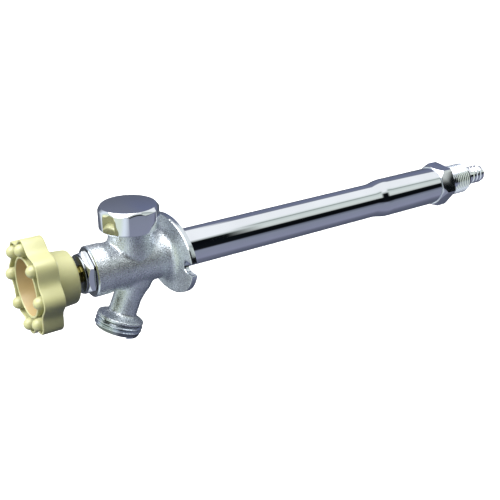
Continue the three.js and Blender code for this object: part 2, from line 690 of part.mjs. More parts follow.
function lobedPrism(inset, front, back) {
  const prism = new THREE.ExtrudeGeometry(new THREE.Shape(lobedOutline(inset)), {
    depth: back - front,
    bevelEnabled: false,
  });
  return toSolid(prism.rotateX(Math.PI / 2).translate(0, back, 0));
}

function handleHub() {
  const roundCentre = HANDLE_HUB_BACK_RADIUS - HANDLE_HUB_ROUND;
  return toSolid(
    turned([
      [0, handleBack],
      ...arc(roundCentre, handleBack - HANDLE_HUB_ROUND, HANDLE_HUB_ROUND, 90, 0),
      [hubRimRadius, handleRim],
      [hubRimInside, handleRim],
      [hubFloorInside, handleFloor],
      [0, handleFloor],
    ]),
  );
}

function handleBead(index) {
  const tip = handleRim - BEAD_PROUD;
  const foot = handleRim + HANDLE_SKIRT_LENGTH - HANDLE_PLATE / 2;
  const dome = arc(0, tip + BEAD_RADIUS, BEAD_RADIUS, 0, -90).slice(0, -1);
  const bead = turned([[0, foot], [BEAD_RADIUS, foot], ...dome, [0, tip]], LEAST);
  bead.translate(HANDLE_MEAN_RADIUS - BEAD_INSET, 0, 0);
  return toSolid(bead.rotateY((2 * Math.PI * index) / HANDLE_LOBES));
}

function handle() {
  const skirtBack = handleRim + HANDLE_SKIRT_LENGTH;
  const skirt = lobedPrism(0, handleRim, skirtBack);
  const pocket = lobedPrism(HANDLE_WALL, handleRim - OVERCUT, skirtBack - HANDLE_PLATE);
  const hubHole = rod(hubFloorInside, handleRim, skirtBack + OVERCUT);
  const wall = cut(skirt, [pocket, toSolid(hubHole)]);
  const beads = Array.from({ length: HANDLE_LOBES }, (_, index) => handleBead(index));
  const cup = turned([
    [0, handleFloor],
    [hubFloorInside, handleFloor],
    [hubRimInside, handleRim - BEAD_PROUD - OVERCUT],
    [0, handleRim - BEAD_PROUD - OVERCUT],
  ]);
  const side = STEM_SQUARE + 2 * CLEARANCE;
  const broach = new THREE.BoxGeometry(side, HANDLE_FLOOR + 2 * OVERCUT, side);
  broach.translate(0, (handleBack + handleFloor) / 2, 0);
  return cut(join([handleHub(), wall, ...beads]), [toSolid(cup), toSolid(broach)]);
}

function handleScrew() {
  const headBack = handleFloor - CLEARANCE;
  const headFront = headBack - SCREW_HEAD_LENGTH;
  const screw = turned(
    [
      [0, headFront],
      [SCREW_HEAD_RADIUS - SCREW_SLOT_DEPTH, headFront],
      [SCREW_HEAD_RADIUS, headFront + SCREW_SLOT_DEPTH],
      [SCREW_HEAD_RADIUS, headBack],
      [SCREW_RADIUS, headBack],
      [SCREW_RADIUS, headBack + SCREW_LENGTH],
      [0, headBack + SCREW_LENGTH],
    ],
    COARSE,
  );
  return cut(toSolid(screw), [toSolid(screwSlot(headFront)), toSolid(screwSlot(headFront, Math.PI / 2))]);
}

// ---- Vacuum breaker ----
function breakerCap() {
  const capCorner = capFlat + CAP_CORNER_STEP;
  const outside = turned([
    [0, capBottom],
    [capCorner - CAP_FOOT_EDGE, capBottom],
    [capCorner, capBottom + CAP_FOOT_EDGE],
    [capCorner, capTop - CAP_CHAMFER],
    [capFlat - CAP_TOP_STEP, capTop],
    [0, capTop],
  ]);
  const skirt = rod(BOSS_RADIUS + CAP_AIR_GAP, capBottom - OVERCUT, bonnetFlangeBottom);
  const thread = rod(bonnetFlangeRadius + CLEARANCE, capBottom, capRoof);
  const hex = hexBar(2 * capFlat, capBottom - OVERCUT, capTop + OVERCUT, CAP_TURN);
  const whole = toSolid(hex).intersect(toSolid(outside));
  return cut(whole, [toSolid(skirt), toSolid(thread)]);
}

function breakerBonnet() {
  const threadRadius = poppetChamberRadius - CLEARANCE;
  const guideBore = POPPET_STEM_RADIUS + CLEARANCE;
  const turning = turned([
    [guideBore, bonnetBottom],
    [threadRadius, bonnetBottom],
    [threadRadius, bonnetFlangeBottom],
    [bonnetFlangeRadius, bonnetFlangeBottom],
    [bonnetFlangeRadius, bonnetFlangeTop],
    [BONNET_GUIDE_RADIUS, bonnetFlangeTop],
    [BONNET_GUIDE_RADIUS, bonnetFlangeTop + BONNET_GUIDE_RISE],
    [guideBore, bonnetFlangeTop + BONNET_GUIDE_RISE],
  ]);
  const vents = [];
  for (let i = 0; i < BONNET_VENTS; i++) {
    const vent = rod(BONNET_VENT_RADIUS, bonnetBottom - OVERCUT, bonnetFlangeTop + OVERCUT, LEAST);
    vent.translate((BONNET_GUIDE_RADIUS + threadRadius) / 2, 0, 0);
    vents.push(toSolid(vent.rotateY((2 * Math.PI * i) / BONNET_VENTS)));
  }
  return cut(toSolid(turning), vents);
}

function bonnetGasket() {
  const bore = poppetChamberRadius + CLEARANCE;
  return toSolid(ring(bore, BOSS_RADIUS - CLEARANCE, gasketBottom, gasketBottom + GASKET_LENGTH));
}

function breakerPoppet() {
  const skirtRadius = poppetPortRadius - CLEARANCE;
  return toSolid(
    turned(
      [
        [0, poppetBottom - POPPET_SKIRT_LENGTH],
        [skirtRadius, poppetBottom - POPPET_SKIRT_LENGTH],
        [skirtRadius, poppetBottom],
        [poppetDiscRadius, poppetBottom],
        [poppetDiscRadius, poppetDiscTop],
        [POPPET_STEM_RADIUS, poppetDiscTop],
        [POPPET_STEM_RADIUS, poppetStemTop],
        [0, poppetStemTop],
      ],
      COARSE,
    ),
  );
}

function poppetSeal() {
  const bore = POPPET_STEM_RADIUS + CLEARANCE;
  return toSolid(ring(bore, poppetDiscRadius - POPPET_SEAL_STEP, poppetDiscTop + CLEARANCE, sealTop, COARSE));
}

// ---- Assembly ----
const group = new THREE.Group();
const breaker = new THREE.Group();
breaker.position.y = -BREAKER_AXIS;
breaker.rotation.x = Math.PI / 2;
group.add(breaker);

function place(name, solid, finish, parent = group) {
  const mesh = new THREE.Mesh(toGeometry(solid), new THREE.MeshStandardMaterial(FINISHES[finish]));
  mesh.name = name;
  parent.add(mesh);
}

place("body_casting", bodyCasting(), "cast");
place("barrel_tube", barrelTube(), "chrome");
place("inlet_fitting", inletFitting(), "chrome");
place("packing_nut", packingNut(), "chrome");
place("packing_washer", packingPiece(washerFront, packingBack), "brass");
place("packing_ring", packingPiece(packingFront, washerFront - CLEARANCE), "graphite");
place("packing_gland", packingPiece(glandFront, packingFront - CLEARANCE), "brass");
place("stem_spindle", stemSpindle(), "brass");
place("stem_rod", stemRod(), "brass");
place("rod_guide", rodGuide(), "nylon");
place("seat_washer_holder", seatWasherHolder(), "brass");
place("seat_washer", seatWasher(), "rubber");
place("washer_screw", washerScrew(), "brass");
place("handle", handle(), "handle");
place("handle_screw", handleScrew(), "brass");
place("vacuum_breaker_cap", breakerCap(), "chrome", breaker);
place("vacuum_breaker_bonnet", breakerBonnet(), "brass", breaker);
place("bonnet_gasket", bonnetGasket(), "rubber", breaker);
place("vacuum_breaker_poppet", breakerPoppet(), "nylon", breaker);
place("poppet_seal", poppetSeal(), "rubber", breaker);

export default group;
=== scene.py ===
import math

import bpy
from bpy.props import FloatProperty, FloatVectorProperty, IntProperty, PointerProperty
from mathutils import Matrix, Vector


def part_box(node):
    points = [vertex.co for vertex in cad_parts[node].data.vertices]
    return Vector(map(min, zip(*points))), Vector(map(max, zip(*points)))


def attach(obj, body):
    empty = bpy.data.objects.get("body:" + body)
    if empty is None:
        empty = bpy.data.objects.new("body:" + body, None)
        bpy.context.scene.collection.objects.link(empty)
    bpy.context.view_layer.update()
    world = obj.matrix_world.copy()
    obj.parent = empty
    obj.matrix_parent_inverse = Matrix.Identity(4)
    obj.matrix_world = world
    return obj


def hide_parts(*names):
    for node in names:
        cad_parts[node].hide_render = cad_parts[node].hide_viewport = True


bl_info = {
    "name": "Frost-free hose bib",
    "version": (1, 0, 0),
    "blender": (4, 5, 0),
    "location": "View3D > Sidebar > Hose bib",
    "description": "Builds the visible pieces of a frost-free wall hose bib round its CAD frame",
    "category": "Add Mesh",
}

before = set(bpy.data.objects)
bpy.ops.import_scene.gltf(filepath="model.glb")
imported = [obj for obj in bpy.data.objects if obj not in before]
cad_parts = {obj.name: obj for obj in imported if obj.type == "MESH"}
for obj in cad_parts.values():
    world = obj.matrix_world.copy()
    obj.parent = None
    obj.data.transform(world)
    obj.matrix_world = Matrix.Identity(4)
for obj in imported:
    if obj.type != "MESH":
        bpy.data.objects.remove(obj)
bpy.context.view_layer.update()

MM = 0.001
FULL_TURN = 2 * math.pi
LATHE_STEPS = 96
ROUND_STEPS = 4
OVERCUT = 1 * MM
MERGE_GAP = 0.002 * MM


# ---- Places taken from the frame ----
def nearest(node, axis):
    """The lowest coordinate of a CAD node along one axis."""
    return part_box(node)[0][axis]


def furthest(node, axis):
    """The highest coordinate of a CAD node along one axis."""
    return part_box(node)[1][axis]


X, Y, Z = range(3)


# ---- Sizes and colours that a user would change ----
def length(label, about, millimetres):
    """A length property whose default is given in millimetres."""
    return FloatProperty(name=label, description=about, default=millimetres * MM, unit="LENGTH")


def turn(label, about, degrees):
    """An angle property whose default is given in degrees."""
    return FloatProperty(name=label, description=about, default=math.radians(degrees), unit="ROTATION")


def linear(colour):
    """A colour given as screen values from 0 to 255, as linear values for a shader."""
    shares = [value / 255 for value in colour]
    return tuple(s / 12.92 if s <= 0.04045 else ((s + 0.055) / 1.055) ** 2.4 for s in shares)


def colour(label, about, values):
    """A colour property whose default is given as screen values from 0 to 255."""
    return FloatVectorProperty(
        name=label, description=about, default=linear(values), subtype="COLOR", min=0, max=1
    )


class HoseBibCasting(bpy.types.PropertyGroup):
    """Sizes of the casting: barrel, flange, boss and spout."""

    front_radius: length("Front radius", "Radius of the barrel's machined front", 14.2)
    waist_radius: length("Waist radius", "Radius of the barrel near the flange", 13.2)
    waist_start: length("Waist start", "Wall face to where the barrel narrows to its waist", 30)
    edge: length("Edge", "Chamfer of the machined front", 0.7)
    flange_thickness: length("Flange thickness", "Thickness of the wall flange", 3.3)
    flange_fillet: length("Flange fillet", "Cast fillet between barrel and flange", 5)
    slot_half_width: length("Slot half width", "Half the width of a wall screw slot", 3.4)
    slot_depth: length("Slot depth", "Flange tip to the round end of a slot", 9.6)
    boss_radius: length("Boss radius", "Radius of the vacuum breaker's boss", 12.2)
    boss_height: length("Boss height", "Barrel axis to the top of the boss", 24)
    boss_bore: length("Boss bore", "Radius of the vacuum breaker's chamber", 9.1)
    boss_port: length("Boss port", "Radius of the port under the poppet", 5.6)
    boss_ledge: length("Boss ledge", "Barrel axis to the ledge under the poppet", 13)
    spout_tilt: turn("Spout tilt", "Angle between the spout and straight down", 23.5)
    spout_axis: length("Spout axis", "Wall face to where the spout's axis meets the barrel's", 19.2)
    spout_length: length("Spout length", "Barrel axis to the spout's mouth", 42.7)
    spout_neck: length("Spout neck", "Radius of the spout's plain neck", 8)
    spout_bore: length("Spout bore", "Radius of the waterway in the spout", 5.6)
    mouth_bore: length("Mouth bore", "Radius of the wide bore at the mouth", 10.2)
    mouth_depth: length("Mouth depth", "Depth of the wide bore at the mouth", 6)
    thread_radius: length("Hose thread radius", "Outside radius of the hose thread", 13.45)
    thread_depth: length("Hose thread depth", "Depth of the hose thread", 1.05)
    thread_pitch: length("Hose thread pitch", "Distance between turns of the hose thread", 2.209)
    thread_turns: IntProperty(name="Hose thread turns", description="Turns of the hose thread", default=3)
    chamber_radius: length("Chamber radius", "Radius of the water chamber in the barrel", 9.8)


class HoseBibFittings(bpy.types.PropertyGroup):
    """Sizes of the tube, the inlet fitting, the packing nut and the stem."""

    tube_radius: length("Tube radius", "Outside radius of the barrel tube", 11.1)
    tube_wall: length("Tube wall", "Wall thickness of the barrel tube", 1)
    swage_radius: length("Swage radius", "Outside radius of the swaged end", 12.7)
    swage_start: length("Swage start", "Wall face to where the tube starts to widen", 149)
    swage_rise: length("Swage rise", "Length over which the tube widens", 13)
    inlet_flats: length("Inlet flats", "Size across the inlet hexagon's flats", 26.5)
    inlet_hex_length: length("Inlet hexagon length", "Length of the inlet hexagon", 11.3)
    inlet_chamfer: length("Inlet chamfer", "Length of the chamfer at the tube's end", 3.6)
    pipe_radius: length("Pipe thread radius", "Outside radius of the pipe thread", 10.5)
    pipe_depth: length("Pipe thread depth", "Depth of the pipe thread", 0.95)
    pipe_pitch: length("Pipe thread pitch", "Distance between turns of the pipe thread", 1.814)
    pipe_turns: IntProperty(name="Pipe thread turns", description="Turns of the pipe thread", default=10)
    pipe_neck: length("Pipe thread neck", "Plain neck between hexagon and thread", 3.2)
    barb_radius: length("Barb radius", "Outside radius of the crimp barb", 6.3)
    barb_groove: length("Barb groove", "Depth of the barb's grooves", 0.6)
    inlet_bore: length("Inlet bore", "Radius of the supply bore", 4.3)
    nut_flats: length("Nut flats", "Size across the packing nut's flats", 21.8)
    nut_hex_length: length("Nut hexagon length", "Length of the packing nut's hexagon", 3.9)
    stem_radius: length("Stem radius", "Radius of the plain stem", 4.75)


class HoseBibHandle(bpy.types.PropertyGroup):
    """Sizes of the handle."""

    lobes: IntProperty(name="Lobes", description="Number of lobes and beads", default=8)
    mean_radius: length("Mean radius", "Mean outside radius of the lobed wall", 24.9)
    lobe_depth: length("Lobe depth", "How far a lobe stands out of the mean radius", 1.7)
    wall: length("Wall", "Thickness of the lobed wall", 1.4)
    plate: length("Plate", "Thickness of the plate behind the beads", 1.6)
    skirt_length: length("Skirt length", "Length of the lobed wall", 11.4)
    hub_back_radius: length("Hub back radius", "Radius of the hub next to the packing nut", 14.5)
    hub_rim_radius: length("Hub rim radius", "Radius of the hub's open rim", 16.6)
    hub_wall: length("Hub wall", "Thickness of the hub's wall", 1.3)
    hub_length: length("Hub length", "Back of the hub to its rim", 24.6)
    floor: length("Floor", "Thickness of the hub's floor", 5)
    bead_circle: length("Bead circle", "Radius of the circle that the beads stand on", 20.9)
    bead_radius: length("Bead radius", "Radius of a bead", 3.4)
    bead_proud: length("Bead height", "How far a bead stands out of the rim", 3.6)


class HoseBibBreaker(bpy.types.PropertyGroup):
    """Sizes of the vacuum breaker's cap."""

    axis: length("Breaker axis", "Wall face to the vacuum breaker's axis", 24.2)
    flats: length("Cap flats", "Size across the cap's flats", 32.2)
    turned_by: turn("Cap turn", "How far the cap is turned from corners facing along the barrel", -8)
    corner_radius: length("Cap corner radius", "Radius of the cap's rounded corners", 16.65)
    top_radius: length("Cap top radius", "Radius of the cap's flat top", 15.2)
    chamfer: length("Cap chamfer", "Height of the cap's top chamfer", 2)
    foot_edge: length("Cap foot edge", "Chamfer of the cap's lower edge", 0.8)
    thread_radius: length("Cap thread radius", "Radius inside the cap, over the bonnet", 12.1)
    skirt_radius: length("Cap skirt radius", "Radius inside the cap's lower edge", 13.4)
    roof: length("Cap roof", "Thickness of the cap's top", 2.2)


class HoseBibColours(bpy.types.PropertyGroup):
    """Base colours of the finishes."""

    plate: colour("Plated casting", "Zinc-grey plate on the sand casting", (226, 232, 238))
    chrome: colour("Chrome", "Polished chrome plate", (238, 240, 246))
    # Brass darkened below bare turned brass: partly the metal's colour, partly painted shade for the stem in the gap
    # behind the handle.
    brass: colour("Brass", "Turned brass", (140, 128, 66))
    cream: colour("Handle", "Cream plastic of the handle", (192, 191, 141))
    # The cup's tan is painted bounce light: a warmer copy of the cream for light bounced round inside the cup.
    tan: colour("Handle cup", "Tan plastic inside the handle's cup", (192, 170, 122))
    rubber: colour("Rubber", "Black rubber", (34, 34, 36))
    graphite: colour("Graphite", "Pressed graphite packing", (66, 66, 70))
    nylon: colour("Nylon", "Natural nylon", (228, 225, 214))
    floor: colour("Floor", "Pale floor", (250, 250, 250))


class HoseBibSettings(bpy.types.PropertyGroup):
    """Everything that the operators read."""

    casting: PointerProperty(name="Casting", description="Sizes of the casting", type=HoseBibCasting)
    fittings: PointerProperty(name="Fittings", description="Sizes of the fittings", type=HoseBibFittings)
    handle: PointerProperty(name="Handle", description="Sizes of the handle", type=HoseBibHandle)
    breaker: PointerProperty(name="Breaker", description="Sizes of the vacuum breaker", type=HoseBibBreaker)
    colours: PointerProperty(name="Colours", description="Base colours", type=HoseBibColours)


# ---- Modelling helpers ----
class Axis:
    """A line that shapes are turned about. Places along it are measured from its origin."""

    def __init__(self, origin, along, side=(1, 0, 0)):
        self.origin = Vector(origin)
        self.along = Vector(along)
        self.side = Vector(side)

    def point(self, radius, place):
        return self.origin + self.side * radius + self.along * place

    def matrix(self):
        """Takes a shape made about the Y axis to this axis."""
        third = self.side.cross(self.along)
        turned_to = Matrix((self.side, self.along, third)).transposed().to_4x4()
        return Matrix.Translation(self.origin) @ turned_to


BARREL = Axis((0, 0, 0), (0, 1, 0))


def breaker_axis(settings):
    return Axis((0, -settings.breaker.axis, 0), (0, 0, 1))


def spout_axis(settings):
    tilt = settings.casting.spout_tilt
    return Axis((0, -settings.casting.spout_axis, 0), (0, -math.sin(tilt), -math.cos(tilt)))


def activate(obj):
    bpy.ops.object.select_all(action="DESELECT")
    obj.select_set(True)
    bpy.context.view_layer.objects.active = obj


def close_up():
    """Merges doubles and turns the faces outwards, in edit mode."""
    bpy.ops.mesh.select_all(action="SELECT")
    bpy.ops.mesh.remove_doubles(threshold=MERGE_GAP)
    bpy.ops.mesh.normals_make_consistent(inside=False)


def rounded(corners):
    """Profile points from corners of (radius, place) or (radius, place, rounding)."""
    points = []
    for index, corner in enumerate(corners):
        here = Vector(corner[:2])
        if len(corner) == 2:
            points.append(here)
            continue
        before = (Vector(corners[index - 1][:2]) - here).normalized()
        after = (Vector(corners[(index + 1) % len(corners)][:2]) - here).normalized()
        half = before.angle(after) / 2
        centre = here + (before + after).normalized() * corner[2] / math.sin(half)
        start = (here + before * corner[2] / math.tan(half) - centre).normalized()
        end = (here + after * corner[2] / math.tan(half) - centre).normalized()
        for step in range(ROUND_STEPS + 1):
            points.append(centre + start.slerp(end, step / ROUND_STEPS) * corner[2])
    return points


def start_at(place):
    """A new object in edit mode that holds one vertex."""
    bpy.ops.object.select_all(action="DESELECT")
    bpy.ops.mesh.primitive_plane_add(size=MM)
    bpy.ops.object.mode_set(mode="EDIT")
    bpy.ops.mesh.select_all(action="SELECT")
    bpy.ops.mesh.merge(type="CENTER")
    bpy.ops.transform.translate(value=place)
    return bpy.context.object


def draw_on(points):
    """Draws a chain of edges from the vertex that is selected, in edit mode."""
    for here, there in zip(points, points[1:]):
        bpy.ops.mesh.extrude_vertices_move(TRANSFORM_OT_translate={"value": there - here})


def turned(corners, axis=BARREL, steps=LATHE_STEPS, ring=False):
    """A shape turned about an axis. A ring's profile closes on itself, and another's on the axis."""
    points = [axis.point(*point) for point in rounded(corners)]
    if ring:
        points.append(points[0])
    obj = start_at(points[0])
    draw_on(points)
    bpy.ops.mesh.select_all(action="SELECT")
    bpy.ops.mesh.spin(steps=steps, angle=FULL_TURN, center=axis.origin, axis=axis.along)
    close_up()
    bpy.ops.object.mode_set(mode="OBJECT")
    return obj


def rod(radius, start, end, axis=BARREL, steps=LATHE_STEPS):
    return turned([(0, start), (radius, start), (radius, end), (0, end)], axis, steps)


def apply_modifier(obj, kind, **settings):
    activate(obj)
    bpy.ops.object.modifier_add(type=kind)
    modifier = obj.modifiers[-1]
    for name, value in settings.items():
        setattr(modifier, name, value)
    bpy.ops.object.modifier_apply(modifier=modifier.name)


def combine(obj, other, operation, solver="MANIFOLD"):
    """Adds, cuts or intersects obj with another shape, which is used up."""
    apply_modifier(obj, "BOOLEAN", operation=operation, object=other, solver=solver)
    bpy.data.objects.remove(other)


def join(objects):
    """Puts several shapes in the first one's mesh."""
    bpy.ops.object.select_all(action="DESELECT")
    for obj in objects:
        obj.select_set(True)
    bpy.context.view_layer.objects.active = objects[0]
    bpy.ops.object.join()
    return objects[0]


def hex_corner(flats):
    return flats / math.sqrt(3)


def hex_bar(flats, start, end, axis=BARREL, turned_by=0):
    """A hexagonal bar along an axis, with its upright edges a little rounded."""
    bpy.ops.object.select_all(action="DESELECT")
    bpy.ops.mesh.primitive_circle_add(vertices=6, radius=hex_corner(flats), fill_type="NGON")
    obj = bpy.context.object
    bpy.ops.object.mode_set(mode="EDIT")
    bpy.ops.mesh.extrude_region_move(TRANSFORM_OT_translate={"value": (0, 0, end - start)})
    close_up()
    bpy.ops.object.mode_set(mode="OBJECT")
    upright = Matrix.Rotation(-math.pi / 2, 4, "X") @ Matrix.Rotation(turned_by, 4, "Z")
    obj.matrix_world = axis.matrix() @ Matrix.Translation((0, start, 0)) @ upright
    bpy.ops.object.transform_apply()
    return obj


def hex_turning(flats, start, end, trim, axis=BARREL, turned_by=0):
    """A hexagonal bar that is cut to a turned shape, with softened edges."""
    bar = hex_bar(flats, start, end, axis, turned_by)
    combine(bar, turned(trim, axis), "INTERSECT", "EXACT")
    soften(bar, 0.22 * MM)
    return bar


def soften(obj, width, angle=math.radians(24), segments=2):
    apply_modifier(
        obj, "BEVEL", width=width, segments=segments, limit_method="ANGLE", angle_limit=angle,
        harden_normals=False,
    )


def helix(crest, root, pitch, turns, start, axis=BARREL):
    """A thread ridge wound round an axis. It fades into its core at both ends."""
    steps = 64
    flat = pitch / 12
    half = pitch / 2
    below = root - 0.2 * MM
    section = [(below, -half), (root, 0.06 * MM - half), (crest, -flat), (crest, flat)]
    section += [(root, half - 0.06 * MM), (below, half)]
    points = [BARREL.point(radius, place + start) for radius, place in section]
    obj = start_at(points[0])
    draw_on([*points, points[0]])
    bpy.ops.mesh.select_all(action="SELECT")
    bpy.ops.mesh.remove_doubles(threshold=MERGE_GAP)
    bpy.ops.object.mode_set(mode="OBJECT")
    apply_modifier(
        obj, "SCREW", axis="Y", angle=FULL_TURN, screw_offset=pitch, iterations=turns, steps=steps,
        render_steps=steps, use_merge_vertices=False,
    )
    fade_ends(obj, len(section), steps * turns, below)
    bpy.ops.object.mode_set(mode="EDIT")
    bpy.ops.mesh.select_all(action="SELECT")
    bpy.ops.mesh.fill_holes(sides=0)
    close_up()
    bpy.ops.object.mode_set(mode="OBJECT")
    obj.matrix_world = axis.matrix()
    bpy.ops.object.transform_apply()
    return obj


def fade_ends(obj, section_size, sections, below):
    """Sinks the first and last stretch of a thread ridge into its core."""
    fade = 18
    for vertex in obj.data.vertices:
        section = vertex.index // section_size
        share = min(1, section / fade, (sections - section) / fade)
        radius = math.hypot(vertex.co.x, vertex.co.z)
        if share < 1 and radius > below:
            factor = (below + (radius - below) * share) / radius
            vertex.co.x *= factor
            vertex.co.z *= factor


def finish_piece(obj, name, body, node, slot, *materials, smooth=math.radians(32)):
    """Names a finished piece, gives it its finish and sets it on its body."""
    activate(obj)
    bpy.ops.object.shade_smooth_by_angle(angle=smooth)
    obj.name = name
    obj.data.name = name
    indices = [polygon.material_index for polygon in obj.data.polygons]
    obj.data.materials.clear()
    for material in materials:
        obj.data.materials.append(material)
    obj.data.polygons.foreach_set("material_index", [min(i, len(materials) - 1) for i in indices])
    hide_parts(node)
    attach(obj, body)


# ---- Material helpers ----
class Finish:
    """A node material with one Principled shader, and short ways to wire its patterns."""

    def __init__(self, name, metallic, base, roughness):
        self.material = bpy.data.materials.new(name)
        self.material.use_nodes = True
        self.tree = self.material.node_tree
        self.shader = self.tree.nodes["Principled BSDF"]
        self.shader.inputs["Metallic"].default_value = metallic
        self.shader.inputs["Base Color"].default_value = (*base, 1)
        self.shader.inputs["Roughness"].default_value = roughness
        self.place = self.node("ShaderNodeTexCoord").outputs["Object"]

    def node(self, kind, **settings):
        made = self.tree.nodes.new(kind)
        for name, value in settings.items():
            setattr(made, name, value)
        return made

    def link(self, out, into):
        self.tree.links.new(out, into)

    def stretched(self, scale, location=(0, 0, 0)):
        """Object coordinates scaled along each axis."""
        mapping = self.node("ShaderNodeMapping")
        mapping.inputs["Scale"].default_value = scale
        mapping.inputs["Location"].default_value = location
        self.link(self.place, mapping.inputs["Vector"])
        return mapping.outputs["Vector"]

    def noise(self, scale, detail=3, roughness=0.5, vector=None):
        made = self.node("ShaderNodeTexNoise")
        made.inputs["Scale"].default_value = scale
        made.inputs["Detail"].default_value = detail
        made.inputs["Roughness"].default_value = roughness
        self.link(vector or self.place, made.inputs["Vector"])
        return made.outputs["Fac"]

    def ranged(self, value, low, high, start=0.3, end=0.7):
        """A value stretched from start..end to low..high."""
        made = self.node("ShaderNodeMapRange")
        made.inputs["From Min"].default_value = start
        made.inputs["From Max"].default_value = end
        made.inputs["To Min"].default_value = low
        made.inputs["To Max"].default_value = high
        self.link(value, made.inputs["Value"])
        return made.outputs["Result"]

    def blend_colours(self, share, first, second):
        """Mixes two colours, each a plain colour or an output, by a share."""
        made = self.node("ShaderNodeMix", data_type="RGBA")
        self.link(share, made.inputs["Factor"])
        for name, value in (("A", first), ("B", second)):
            socket = [s for s in made.inputs if s.name == name and s.type == "RGBA"][0]
            if isinstance(value, bpy.types.NodeSocket):
                self.link(value, socket)
            else:
                socket.default_value = (*value, 1)
        return [s for s in made.outputs if s.type == "RGBA"][0]

    def bump(self, height, strength, distance, under=None):
        made = self.node("ShaderNodeBump")
        made.inputs["Strength"].default_value = strength
        made.inputs["Distance"].default_value = distance
        self.link(height, made.inputs["Height"])
        if under:
            self.link(under, made.inputs["Normal"])
        return made.outputs["Normal"]

    def rounded_edges(self, radius):
        made = self.node("ShaderNodeBevel", samples=4)
        made.inputs["Radius"].default_value = radius
        return made.outputs["Normal"]

    def painted_edge_highlight(self, radius):
        """How close a place is to a sharp edge, from 0 to 1: the mask where edges are painted lighter as a highlight.
        """
        turn_away = self.node("ShaderNodeVectorMath", operation="DOT_PRODUCT")
        self.link(self.rounded_edges(radius), turn_away.inputs[0])
        self.link(self.node("ShaderNodeNewGeometry").outputs["Normal"], turn_away.inputs[1])
        return self.ranged(turn_away.outputs["Value"], 0, 1, 0.995, 0.9)

    def set(self, name, out):
        self.link(out, self.shader.inputs[name])
        return self


def darker(base, factor):
    return tuple(value * factor for value in base)


def cast_plate(colours):
    """Plate over a sand casting: a fine rough grain that catches the light in specks."""
    finish = Finish("plate_over_casting", 0.8, colours.plate, 0.3)
    blotch = finish.noise(120, 3)
    tone = finish.blend_colours(finish.ranged(blotch, 0, 1), darker(colours.plate, 0.85), colours.plate)
    pits = finish.ranged(finish.noise(1450, 2, 0.6), 0, 1, 0.34, 0.44)
    tone = finish.blend_colours(pits, darker(colours.plate, 0.45), tone)
    # Sharp edges are painted a lighter plate colour: a painted highlight.
    finish.set("Base Color", finish.blend_colours(finish.painted_edge_highlight(0.5 * MM), tone, linear((240, 243, 247))))
    finish.set("Roughness", finish.ranged(finish.noise(700, 2), 0.2, 0.36))
    grain = finish.bump(finish.noise(1150, 2, 0.6), 0.6, 0.45 * MM, finish.rounded_edges(0.3 * MM))
    finish.set("Normal", finish.bump(finish.noise(2400, 2), 0.3, 0.08 * MM, grain))
    return finish.material


def machined_plate(colours, name, shade):
    """Plate over a turned surface, darkened by the factor shade; a low factor makes the copy that paints shade into
    recesses, thread valleys and the nut's nose.
    """
    base = darker(colours.plate, shade)
    finish = Finish(name, 1, base, 0.16)
    finish.set("Roughness", finish.ranged(finish.noise(500, 2), 0.1, 0.24))
    finish.set("Base Color", finish.blend_colours(
        finish.ranged(finish.noise(90, 2), 0, 1), darker(base, 0.86), base))
    finish.set("Normal", finish.bump(finish.noise(1600, 2), 0.12, 0.05 * MM, finish.rounded_edges(0.06 * MM)))
    return finish.material


def chrome(colours, name, roughness=0.05):
    """Polished chrome plate with faint drawn marks along the barrel."""
    finish = Finish(name, 1, colours.chrome, roughness)
    finish.set("Roughness", finish.ranged(finish.noise(140, 3), roughness * 0.6, roughness * 1.8))
    drawn = finish.noise(60, 3, 0.5, finish.stretched((14, 1, 14)))
    finish.set("Normal", finish.bump(drawn, 0.03, 0.05 * MM, finish.rounded_edges(0.08 * MM)))
    tone = finish.blend_colours(
        finish.ranged(finish.noise(45, 2), 0, 1), darker(colours.chrome, 0.94), colours.chrome)
    # Sharp edges are painted near-white: a painted highlight.
    finish.set("Base Color", finish.blend_colours(finish.painted_edge_highlight(0.2 * MM), tone, linear((250, 250, 252))))
    return finish.material


def brass(colours):
    finish = Finish("turned_brass", 1, colours.brass, 0.2)
    finish.set("Roughness", finish.ranged(finish.noise(260, 3), 0.14, 0.32))
    finish.set("Base Color", finish.blend_colours(
        finish.ranged(finish.noise(110, 3), 0, 1), darker(colours.brass, 0.72), colours.brass))
    rings = finish.noise(60, 2, 0.5, finish.stretched((1, 60, 1)))
    finish.set("Normal", finish.bump(rings, 0.1, 0.05 * MM, finish.rounded_edges(0.15 * MM)))
    return finish.material


def moulded_plastic(colours, name, base, deep):
    """Soft, slightly clouded moulded plastic."""
    finish = Finish(name, 0, base, 0.36)
    shader = finish.shader
    shader.inputs["Subsurface Weight"].default_value = 0.12
    shader.inputs["Subsurface Radius"].default_value = (1.0, 0.8, 0.4)
    shader.inputs["Subsurface Scale"].default_value = 1.6 * MM
    shader.inputs["Coat Weight"].default_value = 0.5
    shader.inputs["Coat Roughness"].default_value = 0.3
    clouds = finish.blend_colours(finish.ranged(finish.noise(55, 3), 0, 1), deep, base)
    # Sharp edges are painted a pale cream: a painted highlight.
    finish.set("Base Color", finish.blend_colours(
        finish.ranged(finish.painted_edge_highlight(0.4 * MM), 0, 0.5, 0, 1), clouds, linear((244, 240, 214))))
    finish.set("Roughness", finish.ranged(finish.noise(300, 3), 0.28, 0.44))
    finish.set("Normal", finish.bump(finish.noise(900, 2), 0.06, 0.05 * MM, finish.rounded_edges(0.35 * MM)))
    return finish.material


def dull(name, base, roughness, grain):
    """A dull moulded or pressed material with a grain."""
    finish = Finish(name, 0, base, roughness)
    finish.set("Base Color", finish.blend_colours(
        finish.ranged(finish.noise(200, 3), 0, 1), darker(base, 0.7), base))
    finish.set("Roughness", finish.ranged(finish.noise(400, 3), roughness * 0.8, min(1, roughness * 1.15)))
    finish.set("Normal", finish.bump(finish.noise(grain, 3), 0.15, 0.06 * MM))
    return finish.material


